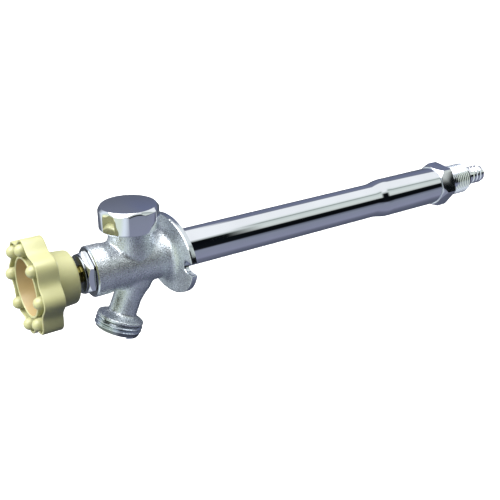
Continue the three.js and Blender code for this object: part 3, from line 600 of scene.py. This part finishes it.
def make_finishes(colours):
    return {
        "cast": cast_plate(colours),
        "machined": machined_plate(colours, "plate_over_turning", 1),
        # A darker copy of the turned plate: painted shade for recesses, thread valleys and the nut's nose.
        "painted_shade": machined_plate(colours, "painted_shade_plate", 0.3),
        "tube": chrome(colours, "polished_tube", 0.03),
        "fitting": chrome(colours, "plated_fitting", 0.09),
        "cap": chrome(colours, "polished_cap", 0.05),
        "brass": brass(colours),
        "cream": moulded_plastic(colours, "handle_cream", colours.cream, darker(colours.cream, 0.9)),
        # The tan copy of the handle plastic paints bounce light inside the cup.
        "tan": moulded_plastic(colours, "handle_cup_painted_bounce", colours.tan, darker(colours.tan, 0.86)),
        "rubber": dull("black_rubber", colours.rubber, 0.7, 1500),
        "graphite": dull("pressed_graphite", colours.graphite, 0.55, 2500),
        "nylon": dull("natural_nylon", colours.nylon, 0.42, 900),
    }


FINISHES = {}


# ---- Casting ----
CASTING_FRONT = nearest("body_casting", Y)


def flange_plate(casting):
    """The oval wall plate, with both slots, a little thicker at the back for trimming."""
    half_width = furthest("body_casting", X)
    half_height = -0.0223
    bpy.ops.object.select_all(action="DESELECT")
    bpy.ops.mesh.primitive_circle_add(
        vertices=128, radius=1, fill_type="NGON", rotation=(math.pi / 2, 0, 0),
        location=(0, -casting.flange_thickness, 0),
    )
    plate = bpy.context.object
    plate.scale = (half_width, -half_height, 1)
    bpy.ops.object.transform_apply()
    bpy.ops.object.mode_set(mode="EDIT")
    depth = casting.flange_thickness + OVERCUT
    bpy.ops.mesh.extrude_region_move(TRANSFORM_OT_translate={"value": (0, depth, 0)})
    close_up()
    bpy.ops.object.mode_set(mode="OBJECT")
    for side in (-1, 1):
        combine(plate, flange_slot(casting, side * half_width, side), "DIFFERENCE")
    return plate


def flange_slot(casting, tip, side):
    """A cutter for one slot that is open towards the flange's tip."""
    end = tip - side * (casting.slot_depth - casting.slot_half_width)
    bpy.ops.object.select_all(action="DESELECT")
    bpy.ops.mesh.primitive_circle_add(
        vertices=48, radius=casting.slot_half_width, fill_type="NGON", rotation=(math.pi / 2, 0, 0),
        location=(end, -casting.flange_thickness - OVERCUT, 0),
    )
    cutter = bpy.context.object
    bpy.ops.object.transform_apply()
    for vertex in cutter.data.vertices:
        if (vertex.co.x - end) * side > 0:
            vertex.co.x += side * casting.slot_depth
    bpy.ops.object.mode_set(mode="EDIT")
    depth = casting.flange_thickness + 4 * OVERCUT
    bpy.ops.mesh.extrude_region_move(TRANSFORM_OT_translate={"value": (0, depth, 0)})
    close_up()
    bpy.ops.object.mode_set(mode="OBJECT")
    return cutter


def cast_forms(settings):
    """The rough casting: overlapping turned forms and the flange, before its skin is blended."""
    casting = settings.casting
    front = CASTING_FRONT
    wall = -casting.flange_thickness
    waist = casting.waist_radius
    barrel = turned([
        (0, front - OVERCUT),
        (casting.front_radius, front - OVERCUT),
        (casting.front_radius, front + 9 * MM),
        (casting.front_radius - 0.35 * MM, front + 10 * MM),
        (waist + 0.1 * MM, -casting.waist_start),
        (waist, wall, casting.flange_fillet),
        (waist + 7 * MM, wall),
        (waist + 7 * MM, wall / 2),
        (0, wall / 2),
    ])
    boss = turned([
        (0, 0),
        (casting.boss_radius, 0),
        (casting.boss_radius + 0.6 * MM, waist - 4 * MM),
        (casting.boss_radius, waist + 2 * MM),
        (casting.boss_radius, casting.boss_height + OVERCUT),
        (0, casting.boss_height + OVERCUT),
    ], breaker_axis(settings))
    neck = casting.spout_neck
    collar = thread_start(casting) - 4 * MM
    spout = turned([
        (0, 0),
        (neck + 2.5 * MM, 0),
        (neck + 2.5 * MM, waist),
        (neck + 1 * MM, waist + 4 * MM),
        (neck, waist + 9 * MM),
        (neck, collar),
        (neck + 1.4 * MM, collar + 1.5 * MM),
        (casting.thread_radius - 0.15 * MM, thread_start(casting) - 1 * MM),
        (casting.thread_radius - 0.15 * MM, thread_start(casting) + 0.4 * MM),
        (0, thread_start(casting) + 0.4 * MM),
    ], spout_axis(settings))
    return join([barrel, boss, spout, flange_plate(casting)])


def mark_machined(obj, casting):
    """Gives the front's chamfer and the flange's filed rim the second finish, and the front face the third, the
    darker plate that paints shade on it.
    """
    for polygon in obj.data.polygons:
        front = polygon.center.y < CASTING_FRONT + casting.edge * 0.9
        rim = polygon.center.y > -casting.flange_thickness + 0.1 * MM and abs(polygon.normal.y) < 0.7
        polygon.material_index = 1 if front or rim else 0
        # The flat front face gets the darker plate: painted shade.
        if front and polygon.normal.y < -0.9:
            polygon.material_index = 2


def mark_roots(obj, axis, radius, start, end):
    """Gives the valleys of a thread, below a radius, the second finish, the darker plate that paints shade into them.
    """
    for polygon in obj.data.polygons:
        place = (polygon.center - axis.origin).dot(axis.along)
        away = (polygon.center - axis.origin - axis.along * place).length
        polygon.material_index = 1 if away < radius and start < place < end else 0


def joint_weights(obj, settings):
    """Marks where the boss and the spout grow out of the barrel, for a wide cast fillet there."""
    casting = settings.casting
    group = obj.vertex_groups.new(name="fillets")
    for axis, radius in ((breaker_axis(settings), casting.boss_radius), (spout_axis(settings), casting.spout_neck)):
        for vertex in obj.data.vertices:
            place = (vertex.co - axis.origin).dot(axis.along)
            away = (vertex.co - axis.origin - axis.along * place).length - radius
            below = place - casting.waist_radius
            share = max(0, 1 - abs(below + 1 * MM) / (6 * MM)) * max(0, 1 - abs(away - 1 * MM) / (5 * MM))
            if share > 0 and place > 0 and vertex.co.y < -casting.flange_thickness - 2.5 * MM:
                group.add([vertex.index], min(1, 2 * share), "ADD")
    return group.name


def thread_start(casting):
    """Barrel axis to the first turn of the hose thread, along the spout."""
    return casting.spout_length - casting.edge - casting.thread_turns * casting.thread_pitch


def machining_limits(settings):
    """The space that the machined casting keeps to: a chamfered front, a flat wall face and boss."""
    casting = settings.casting
    front = CASTING_FRONT
    edge = casting.edge
    limit = turned([
        (0, front),
        (casting.front_radius - edge, front),
        (casting.front_radius + 0.1 * MM, front + edge),
        (80 * MM, front + edge),
        (80 * MM, 0),
        (0, 0),
    ])
    boss_top = breaker_axis(settings)
    above = rod(20 * MM, casting.boss_height, casting.boss_height + 10 * MM, boss_top)
    combine(limit, above, "DIFFERENCE")
    return limit


def waterways(settings):
    """Every bore of the casting, as one cutter."""
    casting = settings.casting
    fittings = settings.fittings
    front = CASTING_FRONT
    gap = 0.3 * MM
    breaker = breaker_axis(settings)
    spout = spout_axis(settings)
    shank = fittings.nut_flats / 2 - 1.4 * MM + gap
    tube_seat = nearest("barrel_tube", Y) - gap
    bore = turned([
        (0, front - OVERCUT),
        (shank + 0.9 * MM + OVERCUT, front - OVERCUT),
        (shank + 0.9 * MM, front),
        (shank, front + 0.9 * MM),
        (shank, front + 6 * MM),
        (6.6 * MM, front + 6.6 * MM),
        (6.6 * MM, front + 16.6 * MM),
        (casting.chamber_radius, front + 17.4 * MM),
        (casting.chamber_radius, tube_seat),
        (fittings.tube_radius + gap, tube_seat),
        (fittings.tube_radius + gap, OVERCUT),
        (0, OVERCUT),
    ])
    chamber = turned([
        (0, 0),
        (casting.boss_port, 0),
        (casting.boss_port, casting.boss_ledge),
        (casting.boss_bore, casting.boss_ledge),
        (casting.boss_bore, casting.boss_height + OVERCUT),
        (0, casting.boss_height + OVERCUT),
    ], breaker)
    combine(bore, chamber, "UNION")
    combine(bore, rod(casting.spout_bore, 0, casting.spout_length, spout), "UNION")
    return bore


class HOSEBIB_OT_casting(bpy.types.Operator):
    """Builds the casting with its barrel, flange, boss and spout"""

    bl_idname = "hosebib.casting"
    bl_label = "Casting"

    def execute(self, context):
        settings = context.scene.hose_bib
        casting = settings.casting
        body = cast_forms(settings)
        apply_modifier(body, "REMESH", mode="VOXEL", voxel_size=0.52 * MM, adaptivity=0)
        apply_modifier(body, "SMOOTH", factor=0.5, iterations=7)
        blend = joint_weights(body, settings)
        apply_modifier(body, "SMOOTH", factor=0.5, iterations=70, vertex_group=blend)
        combine(body, machining_limits(settings), "INTERSECT")
        combine(body, waterways(settings), "DIFFERENCE")
        mark_machined(body, casting)
        finish_piece(
            body, "cast_body", "root", "body_casting", "plated_casting",
            FINISHES["cast"], FINISHES["machined"], FINISHES["painted_shade"],
        )
        thread = hose_thread(settings)
        mark_roots(
            thread, spout_axis(settings), casting.thread_radius - casting.thread_depth * 0.75,
            thread_start(casting), casting.spout_length,
        )
        finish_piece(
            thread, "hose_thread", "root", "body_casting", "plated_casting",
            FINISHES["machined"], FINISHES["painted_shade"],
        )
        return {"FINISHED"}


def hose_thread(settings):
    """The spout's threaded end, cut from the casting."""
    casting = settings.casting
    spout = spout_axis(settings)
    start = thread_start(casting)
    mouth = casting.spout_length
    root = casting.thread_radius - casting.thread_depth
    core = turned([
        (casting.spout_bore, start - 1 * MM),
        (root - 1.5 * MM, start - 1 * MM),
        (root, start + 0.2 * MM),
        (root, mouth, 0.5 * MM),
        (casting.mouth_bore, mouth, 0.3 * MM),
        (casting.mouth_bore, mouth - casting.mouth_depth),
        (casting.spout_bore, mouth - casting.mouth_depth),
    ], spout, ring=True)
    ridge = helix(
        casting.thread_radius, root, casting.thread_pitch, casting.thread_turns,
        start + casting.thread_pitch * 0.1, spout,
    )
    return join([core, ridge])


# ---- Barrel tube and inlet fitting ----
class HOSEBIB_OT_tube(bpy.types.Operator):
    """Builds the swaged barrel tube"""

    bl_idname = "hosebib.tube"
    bl_label = "Barrel tube"

    def execute(self, context):
        fittings = context.scene.hose_bib.fittings
        start = nearest("barrel_tube", Y)
        end = furthest("barrel_tube", Y)
        swage = swage_curve(fittings)
        outside = [(fittings.tube_radius + rise, place) for rise, place in swage]
        inside = [(radius - fittings.tube_wall, place) for radius, place in reversed(outside)]
        tube = turned([
            (fittings.tube_radius, start, 0.25 * MM),
            *outside,
            (fittings.swage_radius, end, 0.3 * MM),
            (fittings.swage_radius - fittings.tube_wall, end, 0.3 * MM),
            *inside,
            (fittings.tube_radius - fittings.tube_wall, start, 0.25 * MM),
        ], steps=160, ring=True)
        finish_piece(tube, "swaged_tube", "root", "barrel_tube", "chrome_tube", FINISHES["tube"])
        return {"FINISHED"}


def swage_curve(fittings):
    """Rise of the tube's wall along the swage, as (rise, place)."""
    steps = 16
    growth = fittings.swage_radius - fittings.tube_radius
    points = []
    for step in range(steps + 1):
        share = step / steps
        rise = growth * (1 - math.cos(math.pi * share)) / 2
        points.append((rise, fittings.swage_start + fittings.swage_rise * share))
    return points


class HOSEBIB_OT_inlet(bpy.types.Operator):
    """Builds the inlet fitting with its hexagon, pipe thread and crimp barb"""

    bl_idname = "hosebib.inlet"
    bl_label = "Inlet fitting"

    def execute(self, context):
        fittings = context.scene.hose_bib.fittings
        front = furthest("barrel_tube", Y) + 0.3 * MM
        back = front + fittings.inlet_hex_length
        hexagon = inlet_hexagon(fittings, front, back)
        fitting = join([hexagon, inlet_turning(fittings, front, back), pipe_thread(fittings, back)])
        mark_roots(
            fitting, BARREL, fittings.pipe_radius - fittings.pipe_depth * 0.7, back + 0.3 * MM,
            back + fittings.pipe_neck + fittings.pipe_turns * fittings.pipe_pitch - 0.6 * MM,
        )
        finish_piece(
            fitting, "inlet_end", "root", "inlet_fitting", "chrome_fitting",
            FINISHES["fitting"], FINISHES["painted_shade"],
        )
        return {"FINISHED"}


def inlet_hexagon(fittings, front, back):
    corner = hex_corner(fittings.inlet_flats)
    inside = fittings.swage_radius - fittings.tube_wall - 0.35 * MM
    trim = [
        (0, front),
        (fittings.inlet_flats / 2 - 0.2 * MM, front),
        (corner, front + fittings.inlet_chamfer),
        (corner, back - 0.7 * MM),
        (corner - 0.7 * MM, back),
        (0, back),
    ]
    hexagon = hex_turning(fittings.inlet_flats, front, back, trim, turned_by=math.radians(36))
    combine(hexagon, rod(inside - 3 * MM, front - OVERCUT, back + OVERCUT), "DIFFERENCE", "EXACT")
    return hexagon


def inlet_turning(fittings, front, back):
    """The turned parts of the fitting: spigot, seat lip, thread core and barb."""
    spigot = fittings.swage_radius - fittings.tube_wall - 0.3 * MM
    spigot_bore = spigot - 1.8 * MM
    spigot_start = nearest("inlet_fitting", Y)
    seat = spigot_start + 5 * MM
    lip = fittings.inlet_bore + 1.3 * MM
    root = fittings.pipe_radius - fittings.pipe_depth
    thread_from = back + fittings.pipe_neck
    thread_to = thread_from + fittings.pipe_turns * fittings.pipe_pitch
    end = furthest("inlet_fitting", Y)
    barb_root = fittings.barb_radius - fittings.barb_groove
    ring_pitch = 3.6 * MM
    barb_from = end - 0.7 * MM - 3 * ring_pitch
    profile = [
        (spigot_bore, spigot_start, 0.3 * MM),
        (spigot, spigot_start, 0.4 * MM),
        (spigot, front + 0.5 * MM),
        (spigot, back - 0.5 * MM),
        (root, back - 0.4 * MM),
        (root, back + 0.3 * MM),
        (root, thread_to, 0.6 * MM),
        (barb_root, thread_to + 0.1 * MM),
        (barb_root, barb_from),
    ]
    for index in range(3):
        start = barb_from + index * ring_pitch
        profile.append((fittings.barb_radius, start + 0.12 * ring_pitch, 0.12 * MM))
        profile.append((fittings.barb_radius, start + 0.5 * ring_pitch, 0.2 * MM))
        profile.append((barb_root, start + 0.97 * ring_pitch))
    profile += [
        (barb_root, end, 0.35 * MM),
        (fittings.inlet_bore, end, 0.3 * MM),
        (fittings.inlet_bore, seat, 0.2 * MM),
        (lip, seat, 0.4 * MM),
        (lip, seat + 1.5 * MM),
        (spigot_bore, seat + 1.5 * MM),
    ]
    return turned(profile, ring=True)


def pipe_thread(fittings, back):
    root = fittings.pipe_radius - fittings.pipe_depth
    return helix(
        fittings.pipe_radius, root, fittings.pipe_pitch, fittings.pipe_turns,
        back + fittings.pipe_neck - fittings.pipe_pitch * 0.5,
    )


# ---- Packing nut ----
class HOSEBIB_OT_nut(bpy.types.Operator):
    """Builds the packing nut"""

    bl_idname = "hosebib.nut"
    bl_label = "Packing nut"

    def execute(self, context):
        fittings = context.scene.hose_bib.fittings
        nose_front = nearest("packing_nut", Y)
        tail = furthest("packing_nut", Y)
        hex_back = -0.0503
        hex_front = hex_back - fittings.nut_hex_length
        corner = hex_corner(fittings.nut_flats)
        nose = fittings.nut_flats / 2
        shank = nose - 1.4 * MM
        cavity = shank - 1.6 * MM
        bore = fittings.stem_radius + 0.3 * MM
        trim = [
            (0, hex_front),
            (nose, hex_front),
            (corner, hex_front + 1.4 * MM),
            (corner, hex_back - 0.7 * MM),
            (corner - 0.7 * MM, hex_back),
            (0, hex_back),
        ]
        hexagon = hex_turning(fittings.nut_flats, hex_front, hex_back, trim)
        combine(hexagon, rod(cavity, hex_front - OVERCUT, hex_back + OVERCUT), "DIFFERENCE", "EXACT")
        turning = turned([
            (bore, nose_front, 0.3 * MM),
            (nose, nose_front, 0.6 * MM),
            (nose, hex_front + 0.3 * MM),
            (shank, hex_front + 0.6 * MM),
            (shank, tail, 0.3 * MM),
            (cavity, tail, 0.2 * MM),
            (cavity, nose_front + 2.6 * MM),
            (bore, nose_front + 2.6 * MM),
        ], ring=True)
        nut = join([hexagon, turning])
        # The nose's front faces and the faces ahead of the hexagon get the darker plate: painted shade in the gap
        # behind the handle's hub.
        for polygon in nut.data.polygons:
            nose_part = polygon.center.y < hex_front + 1.5 * MM and math.hypot(*polygon.center.xz) > bore
            polygon.material_index = 1 if nose_part and polygon.normal.y < -0.2 or polygon.center.y < hex_front else 0
        finish_piece(
            nut, "stuffing_nut", "root", "packing_nut", "chrome_fitting", FINISHES["fitting"], FINISHES["painted_shade"]
        )
        return {"FINISHED"}


# ---- Vacuum breaker cap ----
class HOSEBIB_OT_cap(bpy.types.Operator):
    """Builds the vacuum breaker's cap"""

    bl_idname = "hosebib.cap"
    bl_label = "Vacuum breaker cap"

    def execute(self, context):
        settings = context.scene.hose_bib
        breaker = settings.breaker
        axis = breaker_axis(settings)
        bottom = nearest("vacuum_breaker_cap", Z)
        top = furthest("vacuum_breaker_cap", Z)
        trim = [
            (0, bottom),
            (breaker.corner_radius - breaker.foot_edge, bottom),
            (breaker.corner_radius, bottom + breaker.foot_edge),
            (breaker.corner_radius, top - breaker.chamfer),
            (breaker.top_radius, top),
            (0, top),
        ]
        cap = hex_turning(breaker.flats, bottom, top, trim, axis, breaker.turned_by)
        shoulder = nearest("vacuum_breaker_bonnet", Z) + 5.7 * MM
        hollow = turned([
            (0, bottom - OVERCUT),
            (breaker.skirt_radius, bottom - OVERCUT),
            (breaker.skirt_radius, shoulder),
            (breaker.thread_radius, shoulder),
            (breaker.thread_radius, top - breaker.roof),
            (0, top - breaker.roof),
        ], axis)
        combine(cap, hollow, "DIFFERENCE", "EXACT")
        finish_piece(cap, "hex_cap", "root", "vacuum_breaker_cap", "chrome_cap", FINISHES["cap"])
        return {"FINISHED"}


# ---- Handle ----
def lobed(obj, handle):
    """Presses the lobes into a shell that was turned at the handle's mean radius."""
    inner = handle.hub_rim_radius + 1.5 * MM
    outer = handle.mean_radius - handle.wall - 0.8 * MM
    for vertex in obj.data.vertices:
        radius = math.hypot(vertex.co.x, vertex.co.z)
        share = min(1, max(0, (radius - inner) / (outer - inner)))
        angle = math.atan2(vertex.co.z, vertex.co.x)
        grown = radius + share * handle.lobe_depth * math.cos(handle.lobes * angle)
        vertex.co.x *= grown / radius
        vertex.co.z *= grown / radius


def handle_bead(handle, rim, index):
    """One domed peg of the handle."""
    angle = FULL_TURN * index / handle.lobes
    centre = (handle.bead_circle * math.cos(angle), 0, handle.bead_circle * math.sin(angle))
    tip = rim - handle.bead_proud
    foot = rim + handle.skirt_length - handle.plate / 2
    return turned([
        (0, tip),
        (handle.bead_radius, tip, handle.bead_radius * 0.97),
        (handle.bead_radius, foot),
        (0, foot),
    ], Axis(centre, (0, 1, 0)), 40)


class HOSEBIB_OT_handle(bpy.types.Operator):
    """Builds the lobed handle"""

    bl_idname = "hosebib.handle"
    bl_label = "Handle"

    def execute(self, context):
        handle = context.scene.hose_bib.handle
        back = furthest("handle", Y)
        rim = back - handle.hub_length
        floor = back - handle.floor
        skirt_back = rim + handle.skirt_length
        hub = turned([
            (0, back),
            (handle.hub_back_radius, back, 1.6 * MM),
            (handle.hub_rim_radius, rim, 0.5 * MM),
            (handle.hub_rim_radius - handle.hub_wall, rim, 0.5 * MM),
            (handle.hub_back_radius - handle.hub_wall, floor, 1.2 * MM),
            (0, floor),
        ], steps=120)
        shell = turned([
            (handle.hub_back_radius + 0.6 * MM, skirt_back),
            (handle.mean_radius, skirt_back, 0.9 * MM),
            (handle.mean_radius, rim, 0.55 * MM),
            (handle.mean_radius - handle.wall, rim, 0.55 * MM),
            (handle.mean_radius - handle.wall, skirt_back - handle.plate, 0.8 * MM),
            (handle.hub_back_radius + 0.6 * MM, skirt_back - handle.plate),
        ], steps=240, ring=True)
        lobed(shell, handle)
        combine(shell, hub, "UNION")
        for index in range(handle.lobes):
            combine(shell, handle_bead(handle, rim, index), "UNION")
        combine(shell, stem_broach(back, floor), "DIFFERENCE")
        paint_cup(shell, handle, rim, floor)
        finish_piece(
            shell, "lobed_handle", "stem", "handle", "handle_plastic", FINISHES["cream"], FINISHES["tan"],
            smooth=math.radians(38),
        )
        return {"FINISHED"}


def stem_broach(back, floor):
    """The square hole through the hub's floor."""
    side = 7 * MM
    bpy.ops.object.select_all(action="DESELECT")
    bpy.ops.mesh.primitive_plane_add(size=side, rotation=(math.pi / 2, 0, 0), location=(0, floor - OVERCUT, 0))
    obj = bpy.context.object
    bpy.ops.object.transform_apply()
    bpy.ops.object.mode_set(mode="EDIT")
    depth = back - floor + 2 * OVERCUT
    bpy.ops.mesh.extrude_region_move(TRANSFORM_OT_translate={"value": (0, depth, 0)})
    close_up()
    bpy.ops.object.mode_set(mode="OBJECT")
    return obj


def paint_cup(obj, handle, rim, floor):
    """Gives the faces inside the hub's cup the second finish, a tan copy of the handle plastic that paints the light
    bounced round inside the cup.
    """
    for polygon in obj.data.polygons:
        x, y, z = polygon.center
        depth = (y - rim) / (floor - rim)
        outside = handle.hub_rim_radius + (handle.hub_back_radius - handle.hub_rim_radius) * depth
        inside = math.hypot(x, z) < outside - handle.hub_wall / 2 and rim + 0.6 * MM < y < floor + 0.2 * MM
        polygon.material_index = 1 if inside else 0


# ---- Pieces that keep their CAD shape ----
KEPT_FINISHES = {
    "packing_washer": "brass",
    "packing_ring": "graphite",
    "packing_gland": "brass",
    "stem_spindle": "brass",
    "stem_rod": "brass",
    "rod_guide": "nylon",
    "seat_washer_holder": "brass",
    "seat_washer": "rubber",
    "washer_screw": "brass",
    "handle_screw": "brass",
    "vacuum_breaker_bonnet": "brass",
    "bonnet_gasket": "rubber",
    "vacuum_breaker_poppet": "nylon",
    "poppet_seal": "rubber",
}


class HOSEBIB_OT_kept(bpy.types.Operator):
    """Gives the CAD pieces that stay in the scene their finishes"""

    bl_idname = "hosebib.kept"
    bl_label = "Kept CAD pieces"

    def execute(self, context):
        for node, finish in KEPT_FINISHES.items():
            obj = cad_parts[node]
            for index in range(len(obj.material_slots)):
                obj.material_slots[index].material = FINISHES[finish]
            if not obj.material_slots:
                obj.data.materials.append(FINISHES[finish])
        return {"FINISHED"}


# ---- Finishes and stage ----
class HOSEBIB_OT_finishes(bpy.types.Operator):
    """Makes the finishes that the pieces share"""

    bl_idname = "hosebib.finishes"
    bl_label = "Finishes"

    def execute(self, context):
        FINISHES.update(make_finishes(context.scene.hose_bib.colours))
        return {"FINISHED"}


# Brightness of the studio round the barrel, by the angle above the +X side, in degrees.
STUDIO = (
    (-180, (100, 105, 115)),
    (-150, (94, 100, 112)),
    (-120, (88, 93, 108)),
    (-96, (92, 97, 114)),
    (-76, (110, 114, 132)),
    (-59, (140, 144, 165)),
    (-20, (136, 142, 158)),
    (-8, (106, 112, 124)),
    (-3, (18, 22, 26)),
    (4, (6, 8, 12)),
    (21, (14, 18, 20)),
    (26, (206, 212, 206)),
    (37, (224, 232, 226)),
    (52, (210, 220, 214)),
    (58, (140, 150, 146)),
    (64, (236, 244, 240)),
    (74, (252, 255, 255)),
    (117, (252, 255, 255)),
    (123, (124, 130, 148)),
    (150, (112, 119, 145)),
    (180, (100, 105, 118)),
)
# The same studio seen square on, where its panels look taller.
STUDIO_SQUARE = (
    (-180, (100, 105, 115)),
    (-76, (110, 114, 132)),
    (-59, (140, 144, 165)),
    (-12, (136, 142, 158)),
    (-4, (16, 20, 24)),
    (42, (8, 10, 14)),
    (48, (190, 198, 194)),
    (56, (252, 255, 255)),
    (128, (252, 255, 255)),
    (136, (124, 130, 148)),
    (180, (100, 105, 118)),
)


STUDIO_FRONT = (232, 242, 250)  # the side that the handle faces
STUDIO_FAR_FRONT = (226, 238, 222)  # straight ahead of the handle
BACKDROP = (255, 255, 255)
FILL = 0.38  # share of the studio's brightness that lights dull surfaces


class HOSEBIB_OT_stage(bpy.types.Operator):
    """Sets up the floor, the studio light and the camera"""

    bl_idname = "hosebib.stage"
    bl_label = "Stage"

    def execute(self, context):
        add_floor(context.scene.hose_bib.colours)
        add_studio(context.scene)
        add_lamps()
        add_camera(context.scene)
        return {"FINISHED"}


def add_floor(colours):
    bpy.ops.object.select_all(action="DESELECT")
    bpy.ops.mesh.primitive_grid_add(x_subdivisions=8, y_subdivisions=8, size=30, location=(0, 0, -0.25))
    floor = bpy.context.object
    bpy.ops.object.transform_apply()
    floor.name = "studio_floor"
    floor.visible_glossy = False
    floor.visible_diffuse = False
    finish = Finish("pale_floor", 0, colours.floor, 0.9)
    finish.set("Base Color", finish.blend_colours(
        finish.ranged(finish.noise(3, 2), 0, 1), darker(colours.floor, 0.98), colours.floor))
    floor.data.materials.append(finish.material)


def add_studio(scene):
    """A studio whose brightness changes only with the angle round the barrel."""
    scene.view_settings.view_transform = "Standard"
    world = bpy.data.worlds.new("studio")
    scene.world = world
    world.use_nodes = True
    tree = world.node_tree
    direction = tree.nodes.new("ShaderNodeTexCoord").outputs["Generated"]
    parts = tree.nodes.new("ShaderNodeSeparateXYZ")
    tree.links.new(direction, parts.inputs[0])
    angle = tree.nodes.new("ShaderNodeMath")
    angle.operation = "ARCTAN2"
    tree.links.new(parts.outputs["Z"], angle.inputs[0])
    tree.links.new(parts.outputs["X"], angle.inputs[1])
    share = tree.nodes.new("ShaderNodeMapRange")
    share.inputs["From Min"].default_value = -math.pi
    share.inputs["From Max"].default_value = math.pi
    tree.links.new(angle.outputs[0], share.inputs["Value"])
    slanted = studio_ramp(tree, share.outputs["Result"], STUDIO)
    square = studio_ramp(tree, share.outputs["Result"], STUDIO_SQUARE)
    sides = fade_along(tree, parts.outputs["Y"], 0.43, 0.36, slanted, square)
    front = fade_along(tree, parts.outputs["Y"], -0.3, -0.6, sides, STUDIO_FRONT)
    ahead = fade_along(tree, parts.outputs["Y"], -0.66, -0.8, front, STUDIO_FAR_FRONT)
    rays = tree.nodes.new("ShaderNodeLightPath")
    background = tree.nodes["Background"]
    seen = fade_along(tree, rays.outputs["Is Camera Ray"], 0, 1, ahead, BACKDROP)
    tree.links.new(seen, background.inputs["Color"])
    dimmer = tree.nodes.new("ShaderNodeMapRange")
    dimmer.inputs["To Min"].default_value = 1
    dimmer.inputs["To Max"].default_value = FILL
    tree.links.new(rays.outputs["Is Diffuse Ray"], dimmer.inputs["Value"])
    tree.links.new(dimmer.outputs["Result"], background.inputs["Strength"])


def studio_ramp(tree, share, stops):
    """Colours by the angle round the barrel, from (degrees, colour) stops."""
    ramp = tree.nodes.new("ShaderNodeValToRGB")
    tree.links.new(share, ramp.inputs["Fac"])
    elements = ramp.color_ramp.elements
    while len(elements) < len(stops):
        elements.new(0.5)
    for element, (degrees, values) in zip(elements, stops):
        element.position = (degrees + 180) / 360
        element.color = (*linear(values), 1)
    return ramp.outputs["Color"]


def fade_along(tree, place, start, end, first, second):
    """Fades from one colour to another as a value goes from start to end."""
    fade = tree.nodes.new("ShaderNodeMapRange")
    fade.inputs["From Min"].default_value = start
    fade.inputs["From Max"].default_value = end
    tree.links.new(place, fade.inputs["Value"])
    mixed = tree.nodes.new("ShaderNodeMixRGB")
    tree.links.new(fade.outputs["Result"], mixed.inputs["Fac"])
    tree.links.new(first, mixed.inputs["Color1"])
    if isinstance(second, bpy.types.NodeSocket):
        tree.links.new(second, mixed.inputs["Color2"])
    else:
        mixed.inputs["Color2"].default_value = (*linear(second), 1)
    return mixed.outputs["Color"]


# Name, energy, apparent size, tilt about X and about Y in degrees, and whether polished metal mirrors it.
LAMPS = (
    ("top_lamp", 4.2, 70, 20, 0, True),
    ("front_lamp", 2.5, 60, 70, 0, False),
    ("back_lamp", 1.8, 60, -40, 0, False),
)


def add_lamps():
    """Soft lamps overhead, in front and behind."""
    for name, energy, size, about_x, about_y, mirrored in LAMPS:
        bpy.ops.object.select_all(action="DESELECT")
        bpy.ops.object.light_add(type="SUN", rotation=(math.radians(about_x), math.radians(about_y), 0))
        lamp = bpy.context.object
        lamp.name = name
        lamp.data.energy = energy
        lamp.data.angle = math.radians(size)
        lamp.visible_glossy = mirrored


def add_camera(scene):
    azimuth = math.radians(55.943)
    elevation = math.radians(23.411)
    back = Vector((
        math.sin(azimuth) * math.cos(elevation),
        -math.cos(azimuth) * math.cos(elevation),
        math.sin(elevation),
    ))
    bpy.ops.object.select_all(action="DESELECT")
    bpy.ops.object.camera_add(location=Vector((368.1, -194.1, 179.8)) * MM)
    camera = bpy.context.object
    camera.rotation_mode = "QUATERNION"
    camera.rotation_quaternion = (-back).to_track_quat("-Z", "Y")
    camera.data.lens = 57.11
    camera.data.sensor_width = 36
    camera.data.clip_start = 0.01
    camera.data.clip_end = 100
    scene.camera = camera


class HOSEBIB_PT_panel(bpy.types.Panel):
    """Lists the steps that build the hose bib"""

    bl_label = "Hose bib"
    bl_idname = "HOSEBIB_PT_panel"
    bl_space_type = "VIEW_3D"
    bl_region_type = "UI"
    bl_category = "Hose bib"

    def draw(self, context):
        for operator in OPERATORS:
            self.layout.operator(operator.bl_idname)


OPERATORS = (
    HOSEBIB_OT_finishes,
    HOSEBIB_OT_casting,
    HOSEBIB_OT_tube,
    HOSEBIB_OT_inlet,
    HOSEBIB_OT_nut,
    HOSEBIB_OT_cap,
    HOSEBIB_OT_handle,
    HOSEBIB_OT_kept,
    HOSEBIB_OT_stage,
)
GROUPS = (HoseBibCasting, HoseBibFittings, HoseBibHandle, HoseBibBreaker, HoseBibColours, HoseBibSettings)
CLASSES = (*GROUPS, *OPERATORS, HOSEBIB_PT_panel)


def register():
    for cls in CLASSES:
        bpy.utils.register_class(cls)
    bpy.types.Scene.hose_bib = PointerProperty(
        name="Hose bib", description="Sizes and colours of the hose bib", type=HoseBibSettings
    )


def unregister():
    del bpy.types.Scene.hose_bib
    for cls in reversed(CLASSES):
        bpy.utils.unregister_class(cls)


def main():
    register()
    for operator in OPERATORS:
        group, name = operator.bl_idname.split(".")
        getattr(getattr(bpy.ops, group), name)()


if __name__ == "__main__":
    main()
